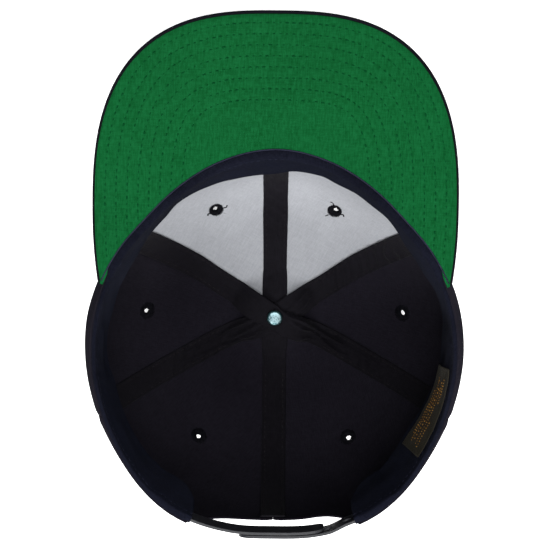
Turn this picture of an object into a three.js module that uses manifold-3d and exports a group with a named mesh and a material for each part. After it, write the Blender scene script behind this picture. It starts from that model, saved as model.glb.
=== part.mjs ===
// Snapback cap: six cloth panels, a flat visor, a sweatband and a two-part plastic strap.
// It lies upside down on its crown, with the opening up and the visor towards +Y.
// Lengths are millimetres and angles degrees, measured round the button's axis from the front (+Y) to the right (+X).
// The cap's own frame has z = 0 at the top of the crown and z = crownDepth at the rim; settle() lays it down.
import * as THREE from "three";
import { mergeVertices } from "three/addons/utils/BufferGeometryUtils.js";
import Module from "manifold-3d";

// Crown, measured from the button's axis to the cloth's outer face
const crownDepth = 116;
const rimHalfWidth = 93.5;
const rimFrontReach = 88;
const rimBackReach = 108;
const panelThickness = 1.2;
const clearance = 0.3; // between pieces that touch
const seamAngles = [0, 60, 118, 180]; // seams of the right half, mirrored on the left

// Rim outline: its reach as a share of the plain oval, by angle
const rimShape = [
  { angle: 0, share: 1.0 },
  { angle: 18, share: 0.98 },
  { angle: 35, share: 0.953 },
  { angle: 50, share: 0.94 },
  { angle: 65, share: 0.962 },
  { angle: 80, share: 0.985 },
  { angle: 100, share: 1.0 },
  { angle: 125, share: 1.012 },
  { angle: 150, share: 1.038 },
  { angle: 168, share: 1.015 },
  { angle: 180, share: 1.0 },
];

// Profile from the button to the rim: depth as a share of crownDepth, reaches as shares of the rim's reach
const profile = [
  { along: 0.0, depth: 0.0, front: 0.0, side: 0.0, back: 0.0 },
  { along: 0.12, depth: 0.012, front: 0.21, side: 0.21, back: 0.205 },
  { along: 0.24, depth: 0.048, front: 0.415, side: 0.41, back: 0.4 },
  { along: 0.36, depth: 0.115, front: 0.61, side: 0.61, back: 0.59 },
  { along: 0.47, depth: 0.21, front: 0.76, side: 0.785, back: 0.745 },
  { along: 0.58, depth: 0.34, front: 0.865, side: 0.925, back: 0.865 },
  { along: 0.69, depth: 0.5, front: 0.925, side: 1.02, back: 0.95 },
  { along: 0.8, depth: 0.68, front: 0.962, side: 1.055, back: 0.99 },
  { along: 0.9, depth: 0.84, front: 0.985, side: 1.042, back: 1.0 },
  { along: 1.0, depth: 1.0, front: 1.0, side: 1.0, back: 1.0 },
];

// How the cap lies: it leans towards the visor, and the cloth under it is pressed flat
const leanAngle = 12;
const pressedDepth = 8;
const pressedSoftness = 3;

// Button outside and its metal back inside
const buttonRadius = 8;
const buttonHeight = 4.2;
const buttonFlatRadius = 4.6;
const puckerSpread = 18; // width of the cloth's slope round the button
const stemRadius = 1.6;
const stemGrip = 2; // how far the stem goes into the button
const rivetRadius = 4.3;
const rivetThickness = 1.7;

// Layers inside the crown
const buckramThickness = 1;
const buckramTip = 4.5; // radius of its cut tip at the button
const tapeWidth = 13;
const tapeThickness = 1;
const tapeGap = 0.45; // between the tapes that cross at the button
const linerEnd = 0.87; // where stiffener and tapes end along the profile, under the sweatband

// Eyelets
const eyeletRadius = 3.9;
const eyeletHole = 1.3;
const eyeletRise = 0.35; // how far its thread stands off the cloth

// Panels of the right half, each between two seams, with its eyelet's place as shares of the panel and the profile
const panels = [
  { name: "front", seam: 0, columns: 8, eyeletShare: 0.5, eyeletAlong: 0.485, lined: true },
  { name: "side", seam: 1, columns: 9, eyeletShare: 0.51, eyeletAlong: 0.455, lined: false },
  { name: "back", seam: 2, columns: 10, eyeletShare: 0.5, eyeletAlong: 0.455, lined: false },
];

// Sweatband and its label
const bandThickness = 1.5;
const bandHeight = 33;
const bandEndCorner = 15;
const bandEndHeight = 12;
// How far the free edge stands in from the rim, round the button's axis
const bandLean = [
  { angle: -180, inward: 8 },
  { angle: -144, inward: 7.7 },
  { angle: -126, inward: 6.2 },
  { angle: -105, inward: 4.5 },
  { angle: -95, inward: 3.9 },
  { angle: -81, inward: 5 },
  { angle: -64, inward: 3.6 },
  { angle: -55, inward: 1.7 },
  { angle: -46, inward: 1.5 },
  { angle: -35, inward: 2.8 },
  { angle: -25, inward: 5 },
  { angle: -6, inward: 8 },
  { angle: 5, inward: 7 },
  { angle: 18, inward: 4.2 },
  { angle: 25, inward: 4 },
  { angle: 33, inward: 2.6 },
  { angle: 42, inward: 1.5 },
  { angle: 52, inward: 1.7 },
  { angle: 61, inward: 4.2 },
  { angle: 70, inward: 3.7 },
  { angle: 85, inward: 2.2 },
  { angle: 95, inward: 3.5 },
  { angle: 118, inward: 8 },
  { angle: 131, inward: 10.5 },
  { angle: 160, inward: 8.5 },
  { angle: 180, inward: 8 },
];
const labelStart = 103;
const labelLength = 45;
const labelHeight = 23.4;
const labelDrop = 2.6; // from the rim to the label's upper edge
const labelThickness = 1;

// Visor
const visorLength = 70.5; // from the rim to the front edge
const visorHalfWidth = 91.8;
const visorShoulder = 56; // reach of its widest line from the button's axis
const visorSquareness = 2.75;
const visorSlope = 7;
const visorArch = 8;
const earTuck = 4.8; // how much narrower the visor is at its ears
const earTipWidth = 2.2;
const visorBoardThickness = 1.8;
const visorClothThickness = 1.2;
const visorWrap = 1.5; // width of the cover's edge round the green cloth

// Cut-out above the strap, and the strap
const archHalfWidth = 44;
const archHeight = 44;
const strapThickness = 1.5;
const strapHeight = 20;
const strapDrop = 1.5; // from the rim to the strap's edge
const strapTail = 11; // sewn in beyond the cut-out
const pegStrapEnd = 26.7; // x of the end of the strap with pegs
const holeStrapEnd = -17.3; // x of the end of the strap with holes
const strapStep = 12; // length over which the outer strap rises over the inner
const pegPitch = 10;
const pegCount = 4;
const holeCount = 6;
const pegRadius = 2.4;
const pegProud = 0.6; // how far a peg stands out of the strap over it
const pegEndMargin = 8.5; // from the strap's end to its first peg
const strapCorner = 5;

// Mesh steps: the layers of the crown share their rows along the profile, so that they nest
const crownRows = [0.05, 0.08, 0.12, 0.18, 0.26, 0.34, 0.42, 0.5, 0.59, 0.69, 0.79, linerEnd];
const bandColumns = 64;
const bandRows = 3;
const visorStations = 34;
const strapColumns = 20;
const roundSides = 20;
const smallSides = 10;

const toRadians = Math.PI / 180;
const bareInset = panelThickness + clearance; // outer face of what lies on the panels
const linedInset = bareInset + buckramThickness + clearance; // outer face of what lies on the buckram
const visorThickness = visorBoardThickness + clearance + visorClothThickness;

function mix(a, b, share) {
  return a + (b - a) * share;
}

// Smooth step from 0 at start to 1 at end.
function ease(start, end, value) {
  const t = Math.min(1, Math.max(0, (value - start) / (end - start)));
  return t * t * (3 - 2 * t);
}

// Smooth curve through one column of a table; a mirrored table is level at both ends.
function readTable(rows, key, column, at, mirrored) {
  const last = rows.length - 1;
  let i = 0;
  while (i < last - 1 && at > rows[i + 1][key]) i += 1;
  const slopeAt = (k) => {
    if (mirrored && (k === 0 || k === last)) return 0;
    const before = rows[Math.max(0, k - 1)];
    const after = rows[Math.min(last, k + 1)];
    return (after[column] - before[column]) / (after[key] - before[key]);
  };
  const width = rows[i + 1][key] - rows[i][key];
  const t = (at - rows[i][key]) / width;
  const from = rows[i][column];
  const to = rows[i + 1][column];
  const cubic = t * t * (3 - 2 * t);
  const leaving = t * (1 - t) * (1 - t) * width * slopeAt(i);
  const arriving = t * t * (t - 1) * width * slopeAt(i + 1);
  return mix(from, to, cubic) + leaving + arriving;
}

// Value between low and high at which below() stops being true.
function crossing(low, high, below) {
  for (let i = 0; i < 40; i += 1) {
    const middle = (low + high) / 2;
    if (below(middle)) low = middle;
    else high = middle;
  }
  return high;
}

// Rim

// Reach of the rim's outer face from the button's axis.
function rimReach(angle) {
  const turn = Math.abs(angle);
  const sine = Math.sin(turn * toRadians);
  const cosine = Math.cos(turn * toRadians);
  const halfLength = (rimFrontReach + rimBackReach) / 2;
  const centre = (rimFrontReach - rimBackReach) / 2;
  const a = (sine / rimHalfWidth) ** 2 + (cosine / halfLength) ** 2;
  const b = (-2 * centre * cosine) / halfLength ** 2;
  const c = (centre / halfLength) ** 2 - 1;
  const oval = (-b + Math.sqrt(b * b - 4 * a * c)) / (2 * a);
  return oval * readTable(rimShape, "angle", "share", turn, true);
}

// Plan point of the rim, moved inwards by inset.
function rimPlan(angle, inset) {
  const at = (turn) => {
    const reach = rimReach(turn);
    return new THREE.Vector2(reach * Math.sin(turn * toRadians), reach * Math.cos(turn * toRadians));
  };
  const along = at(angle + 0.2).sub(at(angle - 0.2)).normalize();
  return at(angle).add(new THREE.Vector2(along.y, -along.x).multiplyScalar(inset));
}

// Angle at which the rim is x wide, looked for from the front (0) or the back (180).
function angleAtWidth(x, start) {
  return crossing(start, 90, (angle) => rimPlan(angle, 0).x < x);
}

const earAngle = angleAtWidth(visorHalfWidth - earTuck, 0);
const ear = rimPlan(earAngle, 0);

// Height of the visor's plane over the level rim: it slopes from the ears to the front and is arched across.
function visorRise(x, y) {
  const slope = (y - ear.y) * Math.tan(visorSlope * toRadians);
  return slope - visorArch * (1 - (x / ear.x) ** 2);
}

function rimHeight(angle) {
  if (Math.abs(angle) >= earAngle) return crownDepth;
  const plan = rimPlan(angle, 0);
  return crownDepth + visorRise(plan.x, plan.y);
}

// Crown surface

// Reach at a place along the profile, as a share of the rim's.
function profileReach(angle, along) {
  const cosine = Math.cos(angle * toRadians);
  const side = 1 - cosine * cosine;
  const end = readTable(profile, "along", cosine > 0 ? "front" : "back", along);
  return mix(end, readTable(profile, "along", "side", along), side);
}

function crownPoint(angle, along) {
  const reach = rimReach(angle) * profileReach(angle, along);
  const depth = readTable(profile, "along", "depth", along);
  return new THREE.Vector3(
    reach * Math.sin(angle * toRadians),
    reach * Math.cos(angle * toRadians),
    depth * rimHeight(angle),
  );
}

const leanTurn = new THREE.Matrix4().makeRotationX(-leanAngle * toRadians);

// The leaned crown's lowest point, found along its front.
function lowestLeaned() {
  let lowest = 0;
  for (let along = 0; along <= 1; along += 0.01) {
    lowest = Math.min(lowest, crownPoint(0, along).applyMatrix4(leanTurn).z);
  }
  return lowest;
}

const lean = new THREE.Matrix4()
  .makeTranslation(0, 0, -lowestLeaned() - pressedDepth)
  .multiply(leanTurn);

// Lays a point of the cap's frame down: leaned, pressed flat under the crown and lifted over the button.
function settle(point) {
  const laid = point.applyMatrix4(lean);
  const soft = pressedSoftness;
  if (laid.z < -soft) laid.z = 0;
  else if (laid.z < soft) laid.z = (laid.z + soft) ** 2 / (4 * soft);
  const round = buttonRadius + clearance;
  const lift = 1 - ease(round, round + puckerSpread, Math.hypot(laid.x, laid.y));
  laid.z += (buttonHeight + clearance) * lift;
  return laid;
}

// Point of the laid crown, inset along the cloth's own normal.
function crownAt(angle, along, inset) {
  const step = 0.004;
  const point = settle(crownPoint(angle, along));
  if (inset === 0) return point;
  const low = Math.max(step, along - step);
  const high = Math.min(1, along + step);
  const outwards = settle(crownPoint(angle, high)).sub(settle(crownPoint(angle, low)));
  const around = settle(crownPoint(angle + 0.5, along)).sub(settle(crownPoint(angle - 0.5, along)));
  const inwards = around.cross(outwards).normalize();
  return point.addScaledVector(inwards, inset);
}

// Place along the profile at which the crown reaches a radius near the button.
function alongAtReach(angle, radius) {
  const reach = rimReach(angle);
  return crossing(0, 0.5, (along) => reach * profileReach(angle, along) < radius);
}

// Place along the profile at a drop below the rim.
function alongAtDrop(drop) {
  const share = 1 - drop / crownDepth;
  return crossing(0, 1, (along) => readTable(profile, "along", "depth", along) < share);
}

// Solids

// Closed solid through rings of points. The first half of a ring is one face, the second half the other, reversed.
function loft(rings) {
  const size = rings[0].length;
  const half = size / 2;
  const index = [];
  const quad = (a, b, c, d) => index.push(a, b, c, a, c, d);
  for (let i = 0; i + 1 < rings.length; i += 1) {
    for (let j = 0; j < size; j += 1) {
      const next = (j + 1) % size;
      const corners = [i * size + j, i * size + next, (i + 1) * size + next, (i + 1) * size + j];
      if (j >= half) corners.push(corners.shift()); // both faces are split along the same diagonal
      quad(...corners);
    }
  }
  const last = (rings.length - 1) * size;
  for (let j = 0; j + 1 < half; j += 1) {
    quad(j, size - 1 - j, size - 2 - j, j + 1);
    quad(last + j, last + j + 1, last + size - 2 - j, last + size - 1 - j);
  }
  const corners = rings.flat().flatMap((point) => [point.x, point.y, point.z]);
  const geometry = new THREE.BufferGeometry();
  geometry.setAttribute("position", new THREE.Float32BufferAttribute(corners, 3));
  geometry.setIndex(signedVolume(corners, index) < 0 ? index.reverse() : index);
  return geometry;
}

function signedVolume(corners, index) {
  const at = (k) => new THREE.Vector3().fromArray(corners, index[k] * 3);
  let volume = 0;
  for (let k = 0; k < index.length; k += 3) {
    volume += at(k).dot(at(k + 1).cross(at(k + 2))) / 6;
  }
  return volume;
}

// Slab between a face and its back, each a function of a column's and a row's place.
function slab(columns, rows, face, backFace) {
  const backRows = [...rows].reverse();
  const rings = columns.map((u) => [
    ...rows.map((v) => face(u, v)),
    ...backRows.map((v) => backFace(u, v)),
  ]);
  return loft(rings);
}

// Shares from 0 to 1 in equal steps.
function shares(count) {
  return Array.from({ length: count + 1 }, (_, i) => i / count);
}

// Rows of the crown from one place along the profile to another.
function rowsBetween(start, end) {
  const apart = 0.01;
  return [start, ...crownRows.filter((row) => row > start + apart && row < end - apart), end];
}

const wasm = await Module();
wasm.setup();

function toManifold(geometry) {
  const plain = geometry.clone();
  plain.deleteAttribute("normal");
  plain.deleteAttribute("uv");
  const merged = mergeVertices(plain, 1e-4);
  const vertProperties = new Float32Array(merged.attributes.position.array);
  const triVerts = new Uint32Array(merged.index.array);
  return new wasm.Manifold(new wasm.Mesh({ numProp: 3, vertProperties, triVerts }));
}

function fromManifold(solid) {
  const mesh = solid.getMesh();
  const geometry = new THREE.BufferGeometry();
  geometry.setAttribute("position", new THREE.BufferAttribute(mesh.vertProperties, 3));
  geometry.setIndex(new THREE.BufferAttribute(mesh.triVerts, 1));
  return geometry;
}

function cut(geometry, tools) {
  const solid = tools.reduce((left, tool) => left.subtract(toManifold(tool)), toManifold(geometry));
  return fromManifold(solid);
}

function join(geometry, additions) {
  const solid = additions.reduce((sum, more) => sum.add(toManifold(more)), toManifold(geometry));
  return fromManifold(solid);
}

// Cylinder along z from one height to another.
function post(radius, from, to, sides) {
  return new THREE.CylinderGeometry(radius, radius, to - from, sides)
    .rotateX(Math.PI / 2)
    .translate(0, 0, (from + to) / 2);
}

// Solid turned round z from a profile of [radius, height] pairs.
function turned(pairs, sides) {
  const points = pairs.map(([radius, height]) => new THREE.Vector2(radius, height));
  return new THREE.LatheGeometry(points, sides).rotateX(Math.PI / 2);
}

// Frame on the crown's outer face with z pointing out of the cap.
function crownFrame(angle, along) {
  const origin = crownAt(angle, along, 0);
  const outwards = origin.clone().sub(crownAt(angle, along, 1)).normalize();
  const side = new THREE.Vector3(0, 0, 1).cross(outwards).normalize();
  const up = outwards.clone().cross(side);
  return new THREE.Matrix4().makeBasis(side, up, outwards).setPosition(origin);
}

// Layers that follow the crown

// Piece of the crown between two seams, from a tip radius to a place along the profile.
function crownPiece(from, to, tip, end, inset, thickness, columns) {
  const place = (u, along, depth) => {
    const middle = mix(from, to, u);
    const reach = rimReach(middle) * profileReach(middle, along);
    const margin = clearance / 2 / reach / toRadians;
    return crownAt(mix(from + margin, to - margin, u), along, depth);
  };
  const outer = (u, along) => place(u, along, inset);
  const inner = (u, along) => place(u, along, inset + thickness);
  const start = alongAtReach((from + to) / 2, tip);
  return slab(shares(columns), rowsBetween(start, end), outer, inner);
}

const sides = [
  { name: "right", sign: 1 },
  { name: "left", sign: -1 },
];

// Frame on the cloth at a panel's eyelet, with z pointing out of the cap.
function eyeletFrame(panel, side) {
  const angle = mix(seamAngles[panel.seam], seamAngles[panel.seam + 1], panel.eyeletShare);
  return crownFrame(side.sign * angle, panel.eyeletAlong);
}

function eyeletBore(panel, side) {
  const reachIn = linedInset + buckramThickness + 2;
  return post(eyeletRadius + clearance, -reachIn, 2, smallSides).applyMatrix4(eyeletFrame(panel, side));
}

// Round-topped prism that cuts the opening above the strap through the back of the crown.
function archCutter() {
  const shape = new THREE.Shape();
  shape.moveTo(archHalfWidth, -2);
  shape.absellipse(0, 0, archHalfWidth, archHeight, 0, Math.PI, false, 0);
  shape.lineTo(-archHalfWidth, -2);
  shape.closePath();
  const options = { depth: rimBackReach, bevelEnabled: false, curveSegments: 16 };
  return new THREE.ExtrudeGeometry(shape, options)
    .rotateX(-Math.PI / 2)
    .translate(0, -1.4 * rimBackReach, crownDepth)
    .applyMatrix4(lean);
}

function panelGeometry(panel, side) {
  const tip = stemRadius + 2 * clearance;
  const from = side.sign * seamAngles[panel.seam];
  const to = side.sign * seamAngles[panel.seam + 1];
  const low = Math.min(from, to);
  const high = Math.max(from, to);
  const whole = crownPiece(low, high, tip, 1, 0, panelThickness, panel.columns);
  const cutters = [eyeletBore(panel, side)];
  if (panel.name === "back") cutters.push(archCutter());
  return cut(whole, cutters);
}

function buckramGeometry(side) {
  const front = panels[0];
  const edge = side.sign * seamAngles[1];
  const low = Math.min(0, edge);
  const high = Math.max(0, edge);
  const piece = crownPiece(
    low, high, buckramTip, linerEnd, bareInset, buckramThickness, front.columns,
  );
  return cut(piece, [eyeletBore(front, side)]);
}

function eyeletGeometry(panel, side) {
  const top = eyeletRise;
  const lining = panel.lined ? linedInset + buckramThickness - bareInset : 0;
  const bottom = -(panelThickness + lining + eyeletRise);
  const lip = 0.3;
  const ring = turned(
    [
      [eyeletHole, top],
      [eyeletHole, bottom],
      [eyeletRadius - lip, bottom],
      [eyeletRadius, bottom + lip],
      [eyeletRadius, top - lip],
      [eyeletRadius - lip, top],
      [eyeletHole, top],
    ],
    smallSides,
  );
  return ring.applyMatrix4(eyeletFrame(panel, side));
}

// Seam tapes

// The narrowest angle between two seams decides how far from the button the tapes still cross.
const closestSeams = Math.min(
  ...seamAngles.slice(1).map((angle, i) => angle - seamAngles[i]),
);
const tapeCrossing = tapeWidth / 2 / Math.tan((closestSeams / 2) * toRadians) + 1;

// Tape through over the crown from one arm to another; level counts the tapes under it at the button.
function tapeGeometry(frontAngle, backAngle, level) {
  const stacked = linedInset + level * (tapeThickness + tapeGap);
  const arms = [
    { angle: frontAngle, base: linedInset },
    { angle: backAngle, base: bareInset },
  ];
  const place = (way, v, depth) => {
    const arm = way < 0 ? arms[0] : arms[1];
    const along = Math.max(Math.abs(way), 1e-4);
    const reach = rimReach(arm.angle) * profileReach(arm.angle, along);
    const across = ((v - 0.5) * tapeWidth * along) / reach;
    const blend = ease(-0.1, 0.1, way);
    const ahead = new THREE.Vector2(0, -1)
      .rotateAround(new THREE.Vector2(), -frontAngle * toRadians)
      .multiplyScalar(1 - blend)
      .add(
        new THREE.Vector2(0, 1)
          .rotateAround(new THREE.Vector2(), -backAngle * toRadians)
          .multiplyScalar(blend),
      )
      .normalize();
    const x = along * Math.sin(arm.angle * toRadians) - across * ahead.y;
    const y = along * Math.cos(arm.angle * toRadians) + across * ahead.x;
    const inset = mix(stacked, arm.base, ease(tapeCrossing, tapeCrossing * 2, reach));
    const angle = Math.atan2(x, y) / toRadians;
    return crownAt(angle, Math.hypot(x, y), inset + depth);
  };
  const outer = (way, v) => place(way, v, 0);
  const inner = (way, v) => place(way, v, tapeThickness);
  const arm = rowsBetween(crownRows[0] / 2, linerEnd);
  const ways = [...arm.map((along) => -along).reverse(), ...arm];
  const strip = slab(ways, shares(2), outer, inner);
  return cut(strip, [post(stemRadius + clearance, 0, crownDepth / 2, smallSides), archCutter()]);
}

// Button and rivet

function buttonGeometry() {
  const edge = buttonRadius - buttonFlatRadius;
  const socket = buttonHeight - stemGrip;
  return turned(
    [
      [0, 0],
      [buttonFlatRadius, 0],
      [buttonFlatRadius + edge * 0.55, buttonHeight * 0.12],
      [buttonFlatRadius + edge * 0.88, buttonHeight * 0.36],
      [buttonRadius, buttonHeight * 0.66],
      [buttonRadius - edge * 0.12, buttonHeight * 0.9],
      [buttonRadius - edge * 0.4, buttonHeight],
      [stemRadius + clearance, buttonHeight],
      [stemRadius + clearance, socket],
      [0, socket],
    ],
    roundSides,
  );
}

function rivetGeometry() {
  const stack = linedInset + 3 * tapeThickness + 2 * tapeGap + clearance;
  const seat = buttonHeight + clearance + stack;
  const foot = buttonHeight - stemGrip + clearance;
  return turned(
    [
      [0, foot],
      [stemRadius, foot],
      [stemRadius, seat],
      [rivetRadius, seat],
      [rivetRadius, seat + rivetThickness * 0.45],
      [rivetRadius * 0.8, seat + rivetThickness * 0.85],
      [rivetRadius * 0.45, seat + rivetThickness],
      [0, seat + rivetThickness],
    ],
    roundSides,
  );
}

// Sweatband

const bandEndAngle = angleAtWidth(archHalfWidth - 1, 180);
const strapStartAngle = angleAtWidth(archHalfWidth + strapTail, 180);

// Inset of the band's outer face at a drop below the rim; it makes room for the strap ends.
function bandFace(angle, drop) {
  const strapRoom = strapThickness + clearance;
  const nearStrap = ease(strapStartAngle - 8, strapStartAngle - 2, Math.abs(angle));
  const inward = readTable(bandLean, "angle", "inward", angle, false);
  return bareInset + strapRoom * nearStrap + (drop / bandHeight) * inward;
}

// Height of the band, with rounded corners where it ends at the cut-out.
function bandDepth(angle) {
  const left = ((bandEndAngle - Math.abs(angle)) * toRadians * rimBackReach) / bandEndCorner;
  const corner = Math.sqrt(Math.max(0, 1 - Math.max(0, 1 - left) ** 2));
  return mix(bandEndHeight, bandHeight, corner);
}

function bandPoint(angle, drop, depth) {
  const plan = rimPlan(angle, bandFace(angle, drop) + depth);
  return new THREE.Vector3(plan.x, plan.y, rimHeight(angle) - drop).applyMatrix4(lean);
}

function sweatbandGeometry() {
  const place = (u, v, depth) => {
    const angle = mix(-bandEndAngle, bandEndAngle, u);
    return bandPoint(angle, v * bandDepth(angle), depth);
  };
  const outer = (u, v) => place(u, v, 0);
  const inner = (u, v) => place(u, v, bandThickness);
  return slab(shares(bandColumns), shares(bandRows), outer, inner);
}

function labelGeometry() {
  const reach = rimReach(labelStart) - readTable(bandLean, "angle", "inward", labelStart, false);
  const end = labelStart + labelLength / reach / toRadians;
  const base = bandThickness + clearance;
  const place = (u, v, depth) => {
    const angle = mix(labelStart, end, u);
    return bandPoint(angle, labelDrop + v * labelHeight, depth);
  };
  const outer = (u, v) => place(u, v, base);
  const inner = (u, v) => place(u, v, base + labelThickness);
  return slab(shares(8), shares(2), outer, inner);
}

// Visor

// Points spread evenly along a polyline.
function evenly(points, count) {
  const lengths = [0];
  for (let i = 1; i < points.length; i += 1) {
    lengths.push(lengths[i - 1] + points[i].distanceTo(points[i - 1]));
  }
  const total = lengths[lengths.length - 1];
  const result = [];
  let k = 0;
  for (let i = 0; i <= count; i += 1) {
    const goal = (total * i) / count;
    while (k < points.length - 2 && lengths[k + 1] < goal) k += 1;
    const share = (goal - lengths[k]) / (lengths[k + 1] - lengths[k]);
    result.push(points[k].clone().lerp(points[k + 1], share));
  }
  return result;
}

// Right half of the visor's edge in plan, from the front centre over the shoulder to the ear's tip.
function visorEdge(count) {
  const front = rimFrontReach + visorLength;
  const power = 2 / visorSquareness;
  const tip = rimPlan(earAngle, -clearance - earTipWidth);
  const points = [];
  for (let i = 0; i <= 60; i += 1) {
    const turn = ((i / 60) * Math.PI) / 2;
    const x = visorHalfWidth * Math.sin(turn) ** power;
    const y = mix(visorShoulder, front, Math.max(0, Math.cos(turn)) ** power);
    points.push(new THREE.Vector2(x, y));
  }
  for (let i = 1; i <= 12; i += 1) {
    const share = i / 12;
    const x = mix(visorHalfWidth, tip.x, share * share);
    points.push(new THREE.Vector2(x, mix(visorShoulder, tip.y, share)));
  }
  return evenly(points, count);
}

// Stations across the visor from the left ear to the right one: an inner and an outer plan point each.
function visorStationList() {
  const half = visorStations / 2;
  const edge = visorEdge(half);
  const stations = [];
  for (let i = -half; i <= half; i += 1) {
    const side = Math.sign(i) || 1;
    const outer = edge[Math.abs(i)].clone();
    outer.x *= side;
    stations.push({ angle: (i / half) * earAngle, outer });
  }
  return stations;
}

// Visor point: way runs from the crown (0) to the edge (1), margin is kept to the edge, drop is under the green face.
function visorPoint(station, way, margin, drop) {
  const rim = rimPlan(station.angle, 0);
  const apart = rimPlan(station.angle, -1.3 * clearance).sub(rim);
  const inner = rim.multiplyScalar(profileReach(station.angle, alongAtDrop(drop))).add(apart);
  const width = inner.distanceTo(station.outer);
  const stop = Math.min(margin, width * 0.45) / width;
  const at = inner.lerp(station.outer, way * (1 - stop));
  return new THREE.Vector3(at.x, at.y, crownDepth + visorRise(at.x, at.y) - drop).applyMatrix4(lean);
}

function visorUnderGeometry() {
  const stations = visorStationList();
  const columns = stations.length - 1;
  const margin = visorWrap + clearance;
  const face = (u, v) => visorPoint(stations[Math.round(u * columns)], v, margin, 0);
  const back = (u, v) => visorPoint(stations[Math.round(u * columns)], v, margin, visorClothThickness);
  return slab(shares(columns), shares(3), face, back);
}

// Board and cover: flat under the green cloth, with an edge that comes up round it.
function visorTopGeometry() {
  const seat = visorClothThickness + clearance;
  const bevel = 0.7;
  const rings = visorStationList().map((station) => {
    const at = (way, margin, drop) => visorPoint(station, way, margin, drop);
    return [
      at(0, 0, seat),
      at(0.35, 0, seat),
      at(0.7, 0, seat),
      at(1, visorWrap, seat),
      at(1, visorWrap, 0),
      at(1, bevel, 0),
      at(1, 0, bevel),
      at(1, 0, visorThickness - bevel),
      at(1, bevel, visorThickness),
      at(0.8, 0, visorThickness),
      at(0.6, 0, visorThickness),
      at(0.4, 0, visorThickness),
      at(0.2, 0, visorThickness),
      at(0, 0, visorThickness),
    ];
  });
  return loft(rings);
}

// Straps

// Point of a strap at a place across the cap; rise counts how far it lies over the inner strap.
function strapPoint(x, drop, rise, depth) {
  const angle = Math.sign(x || 1) * angleAtWidth(Math.abs(x), 180);
  const plan = rimPlan(angle, bareInset - rise + depth);
  return new THREE.Vector3(plan.x, plan.y, crownDepth - drop).applyMatrix4(lean);
}

// How far the outer strap lies over the inner one at a place across the cap.
function outerRise(x) {
  return (strapThickness + clearance) * (1 - ease(pegStrapEnd + 1, pegStrapEnd + 1 + strapStep, x));
}

// Strap from its sewn end to a free end with rounded corners; rise is a function of the place.
function strapGeometry(start, end, rise) {
  const place = (u, v, depth) => {
    const x = mix(start, end, u);
    const left = Math.min(1, Math.abs(end - x) / strapCorner);
    const corner = strapCorner * (1 - Math.sqrt(1 - (1 - left) ** 2)) * 0.8;
    const drop = strapDrop + mix(corner, strapHeight - corner, v);
    return strapPoint(x, drop, rise(x), depth);
  };
  const outer = (u, v) => place(1 - (1 - u) ** 1.6, v, 0);
  const inner = (u, v) => place(1 - (1 - u) ** 1.6, v, strapThickness);
  return slab(shares(strapColumns), shares(2), outer, inner);
}

function pegPlaces() {
  return Array.from({ length: pegCount }, (_, i) => pegStrapEnd - pegEndMargin - i * pegPitch);
}

// Round post through the straps at a place across the cap, from one depth to another under the inner strap's face.
function strapPost(x, radius, from, to) {
  const middle = strapDrop + strapHeight / 2;
  const origin = strapPoint(x, middle, 0, 0);
  const outwards = origin.clone().sub(strapPoint(x, middle, 0, 1)).normalize();
  const turn = new THREE.Quaternion().setFromUnitVectors(new THREE.Vector3(0, 0, 1), outwards);
  const frame = new THREE.Matrix4().makeRotationFromQuaternion(turn).setPosition(origin);
  return post(radius, from, to, smallSides).applyMatrix4(frame);
}

function pegStrapGeometry() {
  const start = -(archHalfWidth + strapTail);
  const strap = strapGeometry(start, pegStrapEnd, () => 0);
  const top = clearance + strapThickness + pegProud;
  return join(strap, pegPlaces().map((x) => strapPost(x, pegRadius, -strapThickness / 2, top)));
}

function holeStrapGeometry() {
  const start = archHalfWidth + strapTail;
  const strap = strapGeometry(start, holeStrapEnd, outerRise);
  const first = pegPlaces().filter((x) => x - pegRadius > holeStrapEnd).pop();
  const places = Array.from({ length: holeCount }, (_, i) => first + i * pegPitch);
  const holes = places.filter((x) => x < archHalfWidth - pegRadius);
  const reach = 2 * strapThickness + pegProud;
  return cut(strap, holes.map((x) => strapPost(x, pegRadius + clearance, -reach, reach)));
}

// Assembly

const looks = {
  panel: { color: 0x15171f, roughness: 0.9, metalness: 0 },
  buckram: { color: 0xc9ced6, roughness: 0.85, metalness: 0 },
  tape: { color: 0x14151b, roughness: 0.8, metalness: 0 },
  sweatband: { color: 0x171b2a, roughness: 0.9, metalness: 0 },
  label: { color: 0x3c3a2e, roughness: 0.8, metalness: 0 },
  visorTop: { color: 0x15171f, roughness: 0.9, metalness: 0 },
  visorUnder: { color: 0x11803d, roughness: 0.9, metalness: 0 },
  button: { color: 0x15171f, roughness: 0.9, metalness: 0 },
  rivet: { color: 0x9fb4bd, roughness: 0.35, metalness: 1 },
  eyelet: { color: 0x0b0c10, roughness: 0.8, metalness: 0 },
  strap: { color: 0x2b2e33, roughness: 0.5, metalness: 0 },
};

const cap = new THREE.Group();

function addPiece(name, geometry, look) {
  const mesh = new THREE.Mesh(geometry, new THREE.MeshStandardMaterial(look));
  mesh.name = name;
  cap.add(mesh);
}

for (const side of sides) {
  for (const panel of panels) {
    addPiece(`panel_${panel.name}_${side.name}`, panelGeometry(panel, side), looks.panel);
    addPiece(`eyelet_${panel.name}_${side.name}`, eyeletGeometry(panel, side), looks.eyelet);
  }
  addPiece(`buckram_${side.name}`, buckramGeometry(side), looks.buckram);
}
addPiece("seam_tape_centre", tapeGeometry(0, 180, 0), looks.tape);
addPiece("seam_tape_right", tapeGeometry(seamAngles[1], -seamAngles[2], 1), looks.tape);
addPiece("seam_tape_left", tapeGeometry(-seamAngles[1], seamAngles[2], 2), looks.tape);
addPiece("sweatband", sweatbandGeometry(), looks.sweatband);
addPiece("label", labelGeometry(), looks.label);
addPiece("visor_top", visorTopGeometry(), looks.visorTop);
addPiece("visor_under", visorUnderGeometry(), looks.visorUnder);
addPiece("button", buttonGeometry(), looks.button);
addPiece("rivet", rivetGeometry(), looks.rivet);
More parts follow.
